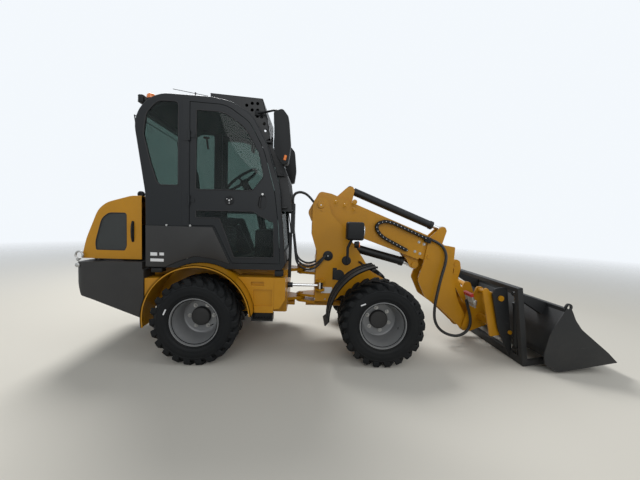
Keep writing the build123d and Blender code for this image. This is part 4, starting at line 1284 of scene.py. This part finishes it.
tank_half = 0.548
frame_half = 0.343
tank_inside = frame_half - 0.002
tank_rows = metres((
    (265, 748, 0), (765, 748, 12), (765, 543, 14), (712, 456, 16), (657, 450, 8), (657, 417, 6),
    (400, 417, 0),
))
rear_plate_rows = metres(((-513, 420, 0), (-513, 716, 5), (-330, 724, 5), (-330, 420, 0)))
tank_cuts = (
    # forward low and high, up low and high, depth
    (0.448, 0.568, 0.672, 0.706, 0.020),
    (0.471, 0.643, 0.480, 0.634, 0.014),
    (0.659, 0.662, 0.417, 0.728, 0.004),
)
fender_centre = (wheelbase + 0.005, 0.412)
fender_r = 0.485


class LOADER_OT_fenders(bpy.types.Operator):
    """Thin fenders over all four wheels, with the side tanks and the steps"""

    bl_idname = "loader.fenders"
    bl_label = "Fenders and tanks"

    def execute(self, context):
        sheet = slab_of(arch_points((0, 0.390), 0.470, 0.008, 4, 190), 0.430, 0.700)
        lip = slab_of(arch_points((0, 0.390), 0.460, 0.018, 4, 190), 0.692, 0.700)
        rear = gathered(sheet, lip)
        piece = shaped("rear_fender_sheets", mirrored(rear), "ochre_paint", "rear")
        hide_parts("rear_fenders")
        arches = [slab_of(arch_points(fender_centre, fender_r, 0.008, 99, 181), 0.480, 0.745)]
        ridge = arch_points(fender_centre, fender_r, 0.015, 99, 181)
        arches += [slab_of(ridge, y, y + 0.022) for y in (0.480, 0.602, 0.723)]
        x = fender_centre[0] - fender_r
        flap = [(x - 0.008, 0.406), (x, 0.406), (x - 0.034, 0.368), (x - 0.044, 0.374)]
        arches.append(slab_of(flap, 0.480, 0.745))
        arches.append(block(1.502, wheelbase - 0.132, tower_half + 0.001, 0.490, 0.862, 0.879))
        knobs = bmesh.new()
        rows = ((0, 0.0), (0, 0.052), (0.018, 0.052), (0.030, 0.044), (0.034, 0.0))
        add_turned(knobs, rows, place(1.268, 0.478, 0.775), (0, -1, 0), 28)
        front = mirrored(gathered(*arches, knobs))
        piece = shaped("front_fender_sheets", front, "black_plastic", "front")
        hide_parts("front_fenders")
        tank = slab(tank_rows, tank_inside, tank_half)
        cuts = [block(a, b, tank_half - depth, 0.60, c, d) for a, b, c, d, depth in tank_cuts]
        tank = worked(tank, gathered(*cuts))
        plate = slab(rear_plate_rows, tank_inside, tank_half)
        plate = worked(gathered(tank, plate), cross_bar(0, 0.390, 0.484, 0.25, 0.70, 72))
        shaped("side_tanks", mirrored(plate), "ochre_paint", "rear")
        treads = worked(
            block(0.458, 0.658, 0.470, 0.575, 0.345, 0.405), block(0.470, 0.646, 0.500, 0.590, 0.357, 0.420)
        )
        bevelled(treads, treads.verts[:], 0.002, 1)
        hanger = bmesh.new()
        for x in (0.475, 0.641):
            corners = places((x, 0.470, 0.38), (x, 0.500, 0.38), (x, 0.548, 0.46), (x, 0.500, 0.46))
            add_plate(hanger, corners, (0.006, 0, 0))
        for n in range(7):
            add_box(hanger, place(0.482 + n * 0.026, 0.535, 0.3595), (0.008, 0.070, 0.006), 0.001, segments=1)
        piece = shaped("cab_steps", mirrored(gathered(treads, hanger)), "black_paint", "rear")
        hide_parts("steps")
        return {"FINISHED"}


# Rims

rim_disc_y = 0.528
rim_rows = (
    # share of the half width from the middle, share of the radius
    (0.940, 1.000), (1.000, 0.995), (1.000, 0.960), (0.930, 0.940),
    (0.700, 0.920), (0.620, 0.870), (0.300, 0.850), (0.200, 0.800),
)


class LOADER_OT_rims(bpy.types.Operator):
    """Stepped rims with a well and a raised middle"""

    bl_idname = "loader.rims"
    bl_label = "Rims"

    def execute(self, context):
        half = (rim_high.y - rim_low.y) / 2
        for name, x, side in wheel_places():
            low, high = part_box("rim_" + name)
            middle = Vector(((low.x + high.x) / 2, (low.y + high.y) / 2, (low.z + high.z) / 2))
            rim = bmesh.new()
            disc = rim_disc_y - side * middle.y
            rows = [(along * half, radius * rim_r) for along, radius in rim_rows]
            rows += [(disc + 0.010, 0.76 * rim_r), (disc, 0.70 * rim_r), (disc, 0.0)]
            rows += [(disc - 0.014, 0.0), (disc - 0.014, 0.80 * rim_r), (-half, 0.96 * rim_r), (-half, rim_r)]
            add_turned(rim, [*rows, rows[0]], middle, (0, side, 0), 64)
            piece = shaped("rim_disc_" + name, rim, "silver_paint", "wheel_" + name)
            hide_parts("rim_" + name)
        return {"FINISHED"}


# Energy chain beside the boom

chain_y = -(boom_half + 0.009)
chain_route = (
    # points along the chain in boom places: along, up
    (1.180, 0.118), (0.955, 0.124), (0.730, 0.130), (0.650, 0.085), (0.625, 0.039),
    (0.650, -0.010), (0.730, -0.052), (0.875, -0.065), (1.020, -0.078),
)


class LOADER_OT_chain(bpy.types.Operator):
    """Energy chain of box links with pale pins"""

    bl_idname = "loader.chain"
    bl_label = "Energy chain"

    def execute(self, context):
        spare = bmesh.new()
        route = [boom_place(along, chain_y - 0.022, up) for along, up in chain_route]
        path = add_tube(spare, route, 0.005, kind="NURBS")
        spare.free()
        links = bmesh.new()
        pins = bmesh.new()
        gone = 0.0
        pitch = 0.042
        for start, end in zip(path, path[1:]):
            step = (end - start).length
            while gone <= step:
                spot = start.lerp(end, gone / step)
                way = end - start
                turn = Matrix.Rotation(-atan2(way.z, way.x), 4, "Y")
                add_box(links, spot, (0.038, 0.042, 0.034), 0.004, turn, 1)
                for side in (-1, 1):
                    ear = spot + turn.to_3x3() @ Vector((0.019, side * 0.0215, 0))
                    add_rod(links, ear, ear + Vector((0, side * 0.0015, 0)), 0.013, 14)
                hub = spot + turn.to_3x3() @ Vector((0.019, -0.0215, 0))
                add_rod(pins, hub, hub - Vector((0, 0.004, 0)), 0.0042, 8)
                gone += pitch
            gone -= step
        anchor = boom_place(1.20, chain_y - 0.020, 0.112)
        add_box(links, anchor, (0.07, 0.040, 0.060), 0.006, Matrix.Rotation(radians(21), 4, "Y"))
        piece = shaped("chain_links", links, "black_plastic", "boom")
        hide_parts("energy_chain")
        shaped("chain_pins", pins, "white_paint", "boom")
        return {"FINISHED"}


# Fine pieces


def screws(bm, spots, y, radius):
    """Hexagon screws on both sides of the machine."""
    for x, z in spots:
        for side in (-1, 1):
            add_bolt(bm, place(x, side * y, z), (0, side, 0), radius)


class LOADER_OT_rear_details(bpy.types.Operator):
    """Shackles, screws, blank plates, aerial, wiper and window seals of the rear body"""

    bl_idname = "loader.rear_details"
    bl_label = "Rear details"

    def execute(self, context):
        shackle_x = -1.100
        steel = bmesh.new()
        screws(steel, ((-0.313, 1.205), (-0.104, 1.207)), cab_half + 0.008, 0.007)
        low_row = ((-0.138, 0.903), (-0.085, 0.902), (-0.030, 0.893), (0.023, 0.882))
        screws(steel, low_row, cab_half - 0.02, 0.009)
        for side in (-1, 1):
            y = side * 0.528
            loop = [
                place(shackle_x + 0.031 * cos(n * pi / 10), y, 0.909 + 0.034 * sin(n * pi / 10))
                for n in range(-2, 13)
            ]
            add_tube(steel, loop, 0.009, sides=3)
            add_bolt(steel, place(shackle_x, y - 0.014, 0.872), (0, -1, 0), 0.012)
            add_rod(steel, *places((shackle_x, y - 0.014, 0.874), (shackle_x, y + 0.014, 0.874)), 0.008)
            rows = ((0, 0.020), (0.010, 0.020), (0.014, 0.012), (0.014, 0.0))
            add_turned(steel, rows, place(-1.096, side * 0.5505, 0.822), (0, side, 0), 20)
        shaped("shackles_screws", steel, "zinc_steel", "rear")
        blanks = (
            # forward, up, length, height
            (-0.425, 0.940, 0.060, 0.030),
            (-0.355, 0.942, 0.040, 0.026),
            (-0.396, 0.886, 0.118, 0.026),
        )
        plates = bmesh.new()
        for x, z, length, height in blanks:
            for side in (-1, 1):
                spot = place(x, side * (cab_half + 0.009), z)
                add_box(plates, spot, (length, 0.0015, height), 0.0005, segments=1)
        shaped("blank_plates", plates, "white_paint", "rear")
        dark = bmesh.new()
        for side in (-1, 1):
            add_box(dark, place(-0.409, side * 0.500, 0.790), (0.098, 0.090, 0.040), 0.006)
            add_box(dark, place(0.700, side * 0.500, 0.785), (0.080, 0.080, 0.050), 0.006)
        aerial_y = -0.300
        add_rod(dark, *places((-0.158, aerial_y, 2.400), (-0.158, aerial_y, 2.478)), 0.006)
        rows = ((0, 0.0), (0, 0.024), (0.012, 0.020), (0.020, 0.008), (0.020, 0.0))
        add_turned(dark, rows, place(-0.158, aerial_y, 2.376), (0, 0, 1), 20)
        add_rod(dark, *places((-0.370, aerial_y, 2.500), (-0.040, aerial_y, 2.450)), 0.0028, 8)
        wiper = places((0.775, -0.10, 1.00), (0.790, -0.06, 1.10), (0.735, 0.03, 1.42), (0.700, 0.06, 1.56))
        add_tube(dark, wiper, 0.006, kind="NURBS", sides=3)
        shaped("cab_fittings", dark, "black_plastic", "rear")
        seals = bmesh.new()
        thick = context.scene.loader_cab.seal / 2
        for side in (-1, 1):
            add_seal(seals, quarter_rows, side * (cab_half - 0.002), thick)
        screen = places(
            (-0.552, -0.462, 1.568), (-0.552, 0.462, 1.568), (-0.643, 0.462, 2.190), (-0.643, -0.462, 2.190)
        )
        add_tube(seals, screen, thick, closed=True)
        shaped("cab_seals", seals, "seal_rubber", "rear")
        return {"FINISHED"}


class LOADER_OT_boom_details(bpy.types.Operator):
    """Pin caps, grease points, blank plates, pad bolts and bucket rings of the front end"""

    bl_idname = "loader.boom_details"
    bl_label = "Boom details"

    def execute(self, context):
        caps = bmesh.new()
        button_rows = ((0, 0.0), (0, 0.016), (0.004, 0.014), (0.004, 0.0))
        for side in (-1, 1):
            out = (0, side, 0)
            y = side * tower_half
            add_cap(caps, place(1.088, y, 1.452), out, (0.036, 0.030), (0.008, 0.010), 32)
            add_cap(caps, place(1.436, y, 1.495), out, (0.026, 0.020), (0.012, 0.014), 28)
            add_bolt(caps, place(1.100, y, 1.395), out, 0.008)
            for x, z in ((1.247, 1.493), (1.341, 1.460), (1.441, 1.423)):
                add_turned(caps, button_rows, place(x, y, z), out, 20)
        shaped("tower_caps", caps, "ochre_paint", "front")
        grease = bmesh.new()
        for side in (-1, 1):
            inner = side * (tower_half + 0.008)
            outer = side * (tower_half + 0.020)
            for x, z in ((1.088, 1.452), (1.177, 0.926), (1.05, 0.47), (1.16, 0.47)):
                add_rod(grease, *places((x, inner, z), (x, outer, z)), 0.007, 10)
        shaped("grease_points", grease, "zinc_steel", "front")
        plates = bmesh.new()
        for side in (-1, 1):
            spot = place(1.174, side * (tower_half + 0.001), 0.562)
            add_box(plates, spot, (0.116, 0.002, 0.064), 0.0006, segments=1)
        shaped("tower_plates", plates, "white_paint", "front")
        dark = bmesh.new()
        for side in (-1, 1):
            out = (0, side, 0)
            add_cap(dark, place(1.177, side * tower_half, 0.926), out, (0.052, 0.044), (0.010, 0.014), 36)
            add_box(dark, place(1.255, side * (tower_half + 0.003), 0.738), (0.044, 0.008, 0.125), 0.005)
            add_cap(dark, place(1.352, side * 0.330, 0.900), out, (0.046, 0.038), (0.018, 0.024), 30)
        shaped("tower_fittings", dark, "black_plastic", "front")
        bolts = bmesh.new()
        for along, up in ((1.13, 0.055), (1.19, 0.055), (1.13, -0.055), (1.19, -0.055)):
            for side in (-1, 1):
                add_bolt(bolts, boom_place(along, side * boom_half, up), (0, side, 0), 0.011)
        shaped("boom_pad_bolts", bolts, "zinc_steel", "boom")
        rings = bmesh.new()
        rows = ((-0.006, 0.017), (-0.006, 0.034), (0.006, 0.034), (0.006, 0.017), (-0.006, 0.017))
        for side in (-1, 1):
            add_turned(rings, rows, tool_place(0.339, side * 0.812, 0.546), (0, 1, 0), 32)
        shaped("bucket_rings", rings, "bucket_paint", "bucket")
        return {"FINISHED"}


# Hoses


def hose(name, route, diameter):
    """Hose along control points, made as one tube that rides on no body."""
    bm = bmesh.new()
    path = add_tube(bm, route, diameter / 2, kind="NURBS", sides=5)
    piece = shaped(name, bm, "hose_rubber", None, 60)
    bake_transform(piece)


class LOADER_OT_hoses(bpy.types.Operator):
    """Sleeved hose of the boom head, hoses between cab and tower, and couplers"""

    bl_idname = "loader.hoses"
    bl_label = "Hoses"

    def execute(self, context):
        sizes = context.scene.loader_hoses
        route = (
            # forward, up, half way across
            (2.292, 1.122, 0.140), (2.390, 1.085, 0.152), (2.450, 0.985, 0.160), (2.445, 0.880, 0.165),
            (2.405, 0.740, 0.172), (2.372, 0.578, 0.176), (2.342, 0.400, 0.180), (2.350, 0.240, 0.184),
            (2.440, 0.130, 0.188), (2.600, 0.085, 0.192), (2.715, 0.150, 0.196), (2.745, 0.260, 0.200),
            (2.705, 0.400, 0.205), (2.665, 0.500, 0.215),
        )
        points = [place(x, -y, z) for x, z, y in route]
        hose("boom_hose", points, sizes.sleeve)
        for n, y in enumerate((-0.135, -0.165, -0.195)):
            low = 0.03 * n
            loop = places(
                (0.812, y, 1.20 - low), (0.835, y, 1.02 - low), (0.850, y, 0.900 - low),
                (0.940, y - 0.02, 0.838 - low), (1.030, y - 0.03, 0.850 - low),
                (1.090, y - 0.035, 0.900 - low), (1.150, y - 0.02, 0.930),
            )
            hose("tower_hose_" + str(n + 1), loop, sizes.line)
        for n, y in enumerate((-0.170, -0.210, -0.250)):
            arc = places(
                (0.805, y, 1.440), (0.795, y, 1.500), (0.815, y, 1.560), (0.880, y + 0.01, 1.580),
                (0.960, y + 0.02, 1.545), (1.010, y + 0.025, 1.480),
            )
            hose("boom_feed_hose_" + str(n + 1), arc, sizes.line)
        steel = bmesh.new()
        red = bmesh.new()
        way = Vector((0.35, 0, -1)).normalized()
        for y in (-0.205, -0.245, -0.285, -0.325):
            spot = place(2.668, y, 0.560)
            add_rod(steel, spot, spot + way * 0.070, 0.016, 20)
            add_rod(steel, spot + way * 0.070, spot + way * 0.12, 0.012, 6)
            add_rod(red, spot - way * 0.034, spot, 0.019, 20)
        add_box(steel, place(2.700, -0.265, 0.500), (0.030, 0.160, 0.050), 0.004)
        shaped("couplers", steel, "zinc_steel", "hitch")
        shaped("coupler_caps", red, "red_plastic", "hitch")
        return {"FINISHED"}


# Inside the cab


class LOADER_OT_seat(bpy.types.Operator):
    """Padded seat with sewn channels, swollen by a short cloth simulation"""

    bl_idname = "loader.seat"
    bl_label = "Seat"

    def execute(self, context):
        most = context.scene.loader_cab.swell
        cushion = bmesh.new()
        add_box(cushion, place(-0.035, 0, 1.240), (0.420, 0.440, 0.076), 0.030, segments=3)
        self.pad("seat_cushion", cushion, most)
        back_rows = metres(((-312, 1302, 30), (-228, 1302, 30), (-298, 1815, 34), (-356, 1815, 34)))
        back = slab(back_rows, -0.200, 0.200)
        self.pad("seat_back", back, most)
        base = bmesh.new()
        add_box(base, place(-0.035, 0, 1.030), (0.360, 0.350, 0.310), 0.012)
        for n in range(6):
            add_box(base, place(-0.035, 0, 0.920 + n * 0.04), (0.372, 0.362, 0.014), 0.006)
        for side in (-1, 1):
            add_box(base, place(-0.10, side * 0.262, 1.440), (0.300, 0.055, 0.045), 0.020, segments=3)
            add_box(base, place(-0.265, side * 0.255, 1.400), (0.030, 0.040, 0.14), 0.008)
        lever_y = -0.262
        lever = places((0.10, lever_y, 1.45), (0.115, lever_y, 1.52), (0.13, lever_y, 1.58))
        add_tube(base, lever, 0.010, sides=3)
        rows = ((0, 0.0), (0, 0.020), (0.02, 0.026), (0.05, 0.024), (0.06, 0.012), (0.062, 0.0))
        add_turned(base, rows, place(0.128, lever_y, 1.57), (0.1, 0, 1), 20)
        shaped("seat_base", base, "black_plastic", "rear")
        return {"FINISHED"}

    def pad(self, name, bm, most):
        """Pad that swells from its shape by no more than a distance, with two channels along it."""
        frames = 20
        seam_y = 0.10
        seam_reach = 0.0192
        seam_depth = 0.006
        bmesh.ops.recalc_face_normals(bm, faces=bm.faces[:])
        piece = linked(name, mesh_of(bm, name))
        remesh = piece.modifiers.new("Remesh", "REMESH")
        remesh.mode = "VOXEL"
        remesh.voxel_size = 0.009
        self.apply(piece)
        rest = [vert.co.copy() for vert in piece.data.vertices]
        cloth = piece.modifiers.new("Cloth", "CLOTH")
        cloth.settings.use_pressure = True
        cloth.settings.uniform_pressure_force = 4
        cloth.settings.effector_weights.gravity = 0
        cloth.point_cache.frame_start = 1
        cloth.point_cache.frame_end = frames
        for step in range(1, frames + 1):
            bpy.context.scene.frame_set(step)
        self.apply(piece)
        bpy.context.scene.frame_set(1)
        for vert, start in zip(piece.data.vertices, rest):
            moved = vert.co - start
            if moved.length > most:
                vert.co = start + moved.normalized() * most
        bm = bmesh.new()
        bm.from_mesh(piece.data)
        for vert in bm.verts:
            for seam in (-seam_y, seam_y):
                near = abs(vert.co.y - seam) / seam_reach
                if near < 1:
                    vert.co -= vert.normal * seam_depth * (1 - near)
        bmesh.ops.smooth_vert(
            bm, verts=bm.verts[:], factor=0.5, use_axis_x=True, use_axis_y=True, use_axis_z=True,
        )
        bm.to_mesh(piece.data)
        bm.free()
        soften = piece.modifiers.new("Subdivision", "SUBSURF")
        soften.levels = 1
        soften.render_levels = 1
        self.apply(piece)
        piece.data.shade_smooth()
        piece.data.materials.clear()
        piece.data.materials.append(bpy.data.materials["seat_fabric"])
        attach(piece, "rear")
        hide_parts("seat")

    def apply(self, piece):
        bpy.context.view_layer.update()
        graph = bpy.context.evaluated_depsgraph_get()
        result = bpy.data.meshes.new_from_object(piece.evaluated_get(graph))
        piece.modifiers.clear()
        piece.data = result


class LOADER_OT_cab_inside(bpy.types.Operator):
    """Steering wheel, console, roof lining with vents, mirror and hammer"""

    bl_idname = "loader.cab_inside"
    bl_label = "Cab inside"

    def execute(self, context):
        drive = bmesh.new()
        centre = place(0.235, 0, 1.700)
        tilt = Vector((-0.60, 0, 0.80))
        turn = turn_to(tilt).to_3x3()
        wheel_r = 0.185
        ring = [
            centre + turn @ Vector((wheel_r * cos(n * pi / 24), wheel_r * sin(n * pi / 24), 0))
            for n in range(48)
        ]
        add_tube(drive, ring, 0.014, closed=True, sides=4)
        rows = ((-0.03, 0.0), (-0.03, 0.036), (0.008, 0.046), (0.016, 0.036), (0.018, 0.0))
        add_turned(drive, rows, centre - tilt * 0.030, tilt, 32)
        for n in range(3):
            way = turn @ Vector((cos(n * 2 * pi / 3), sin(n * 2 * pi / 3), 0))
            add_rod(drive, centre - tilt * 0.028 + way * 0.03, centre + way * 0.178, 0.011, 12, 0.008)
        column = [centre - tilt * 0.04, *places((0.400, 0, 1.46), (0.470, 0, 1.20), (0.500, 0, 1.00))]
        add_tube(drive, column, 0.038, kind="NURBS", sides=5)
        add_box(drive, place(0.505, 0, 1.02), (0.190, 0.350, 0.315), 0.030, segments=3)
        lean = Matrix.Rotation(radians(35), 4, "Y")
        add_box(drive, place(0.400, 0, 1.515), (0.060, 0.240, 0.130), 0.020, lean, 3)
        lean = Matrix.Rotation(radians(-25), 4, "Y")
        add_box(drive, place(0.360, -0.13, 0.885), (0.140, 0.080, 0.020), 0.006, lean)
        piece = shaped("steering_wheel", drive, "black_plastic", "rear")
        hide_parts("steering_console")
        inner = inset(cab_rows, 0.052)
        lining = worked(slab(inner, -0.500, 0.500), slab(inset(cab_rows, 0.070), -0.60, 0.60))
        lining = worked(lining, block(-0.70, 0.36, -0.55, 0.55, 2.22, 2.42), "INTERSECT")
        shaped("roof_lining", lining, "headliner_felt", "rear")
        small = bmesh.new()
        rows = ((0, 0.0), (0, 0.045), (0.006, 0.045), (0.010, 0.034), (0.004, 0.030), (0.004, 0.0))
        for x, y, z in ((-0.505, 0.30, 2.270), (-0.25, 0.36, 2.303)):
            for side in (-1, 1):
                add_turned(small, rows, place(x, side * y, z), (0.15, 0, -1), 28)
        add_box(small, place(0.382, -0.20, 2.015), (0.022, 0.130, 0.125), 0.010)
        stem = places((0.39, -0.20, 2.06), (0.40, -0.22, 2.13), (0.36, -0.25, 2.20))
        add_tube(small, stem, 0.006, sides=3)
        shaped("cab_trim", small, "black_plastic", "rear")
        red = bmesh.new()
        add_tube(red, places((-0.302, 0.490, 2.246), (-0.282, 0.490, 2.115)), 0.011, sides=3)
        add_box(red, place(-0.304, 0.490, 2.250), (0.070, 0.024, 0.026), 0.006)
        shaped("hammer", red, "red_plastic", "rear")
        return {"FINISHED"}


class LOADER_PT_panel(bpy.types.Panel):
    """Lists the steps that dress the loader"""

    bl_idname = "LOADER_PT_panel"
    bl_label = "Wheel loader"
    bl_space_type = "VIEW_3D"
    bl_region_type = "UI"
    bl_category = "Loader"

    def draw(self, context):
        for group in groups:
            settings = getattr(context.scene, group)
            for name in settings.__annotations__:
                self.layout.prop(settings, name)
        for step in steps:
            self.layout.operator(step.bl_idname)


steps = (
    LOADER_OT_finishes,
    LOADER_OT_stage,
    LOADER_OT_tyres,
    LOADER_OT_wheel_fittings,
    LOADER_OT_hood,
    LOADER_OT_cab,
    LOADER_OT_visor,
    LOADER_OT_mirrors,
    LOADER_OT_lamps,
    LOADER_OT_fenders,
    LOADER_OT_rims,
    LOADER_OT_chain,
    LOADER_OT_rear_details,
    LOADER_OT_boom_details,
    LOADER_OT_hoses,
    LOADER_OT_seat,
    LOADER_OT_cab_inside,
)
groups = {
    "loader_paint": LoaderPaint,
    "loader_wheels": LoaderWheels,
    "loader_cab": LoaderCab,
    "loader_hoses": LoaderHoses,
    "loader_stage": LoaderStage,
}


def register():
    for part in (*groups.values(), *steps, LOADER_PT_panel):
        bpy.utils.register_class(part)
    for name, group in groups.items():
        setattr(bpy.types.Scene, name, PointerProperty(type=group))


def unregister():
    for name in groups:
        delattr(bpy.types.Scene, name)
    for part in (LOADER_PT_panel, *reversed(steps), *groups.values()):
        bpy.utils.unregister_class(part)


def main():
    register()
    for step in steps:
        group, name = step.bl_idname.split(".")
        getattr(getattr(bpy.ops, group), name)()


if __name__ == "__main__":
    main()
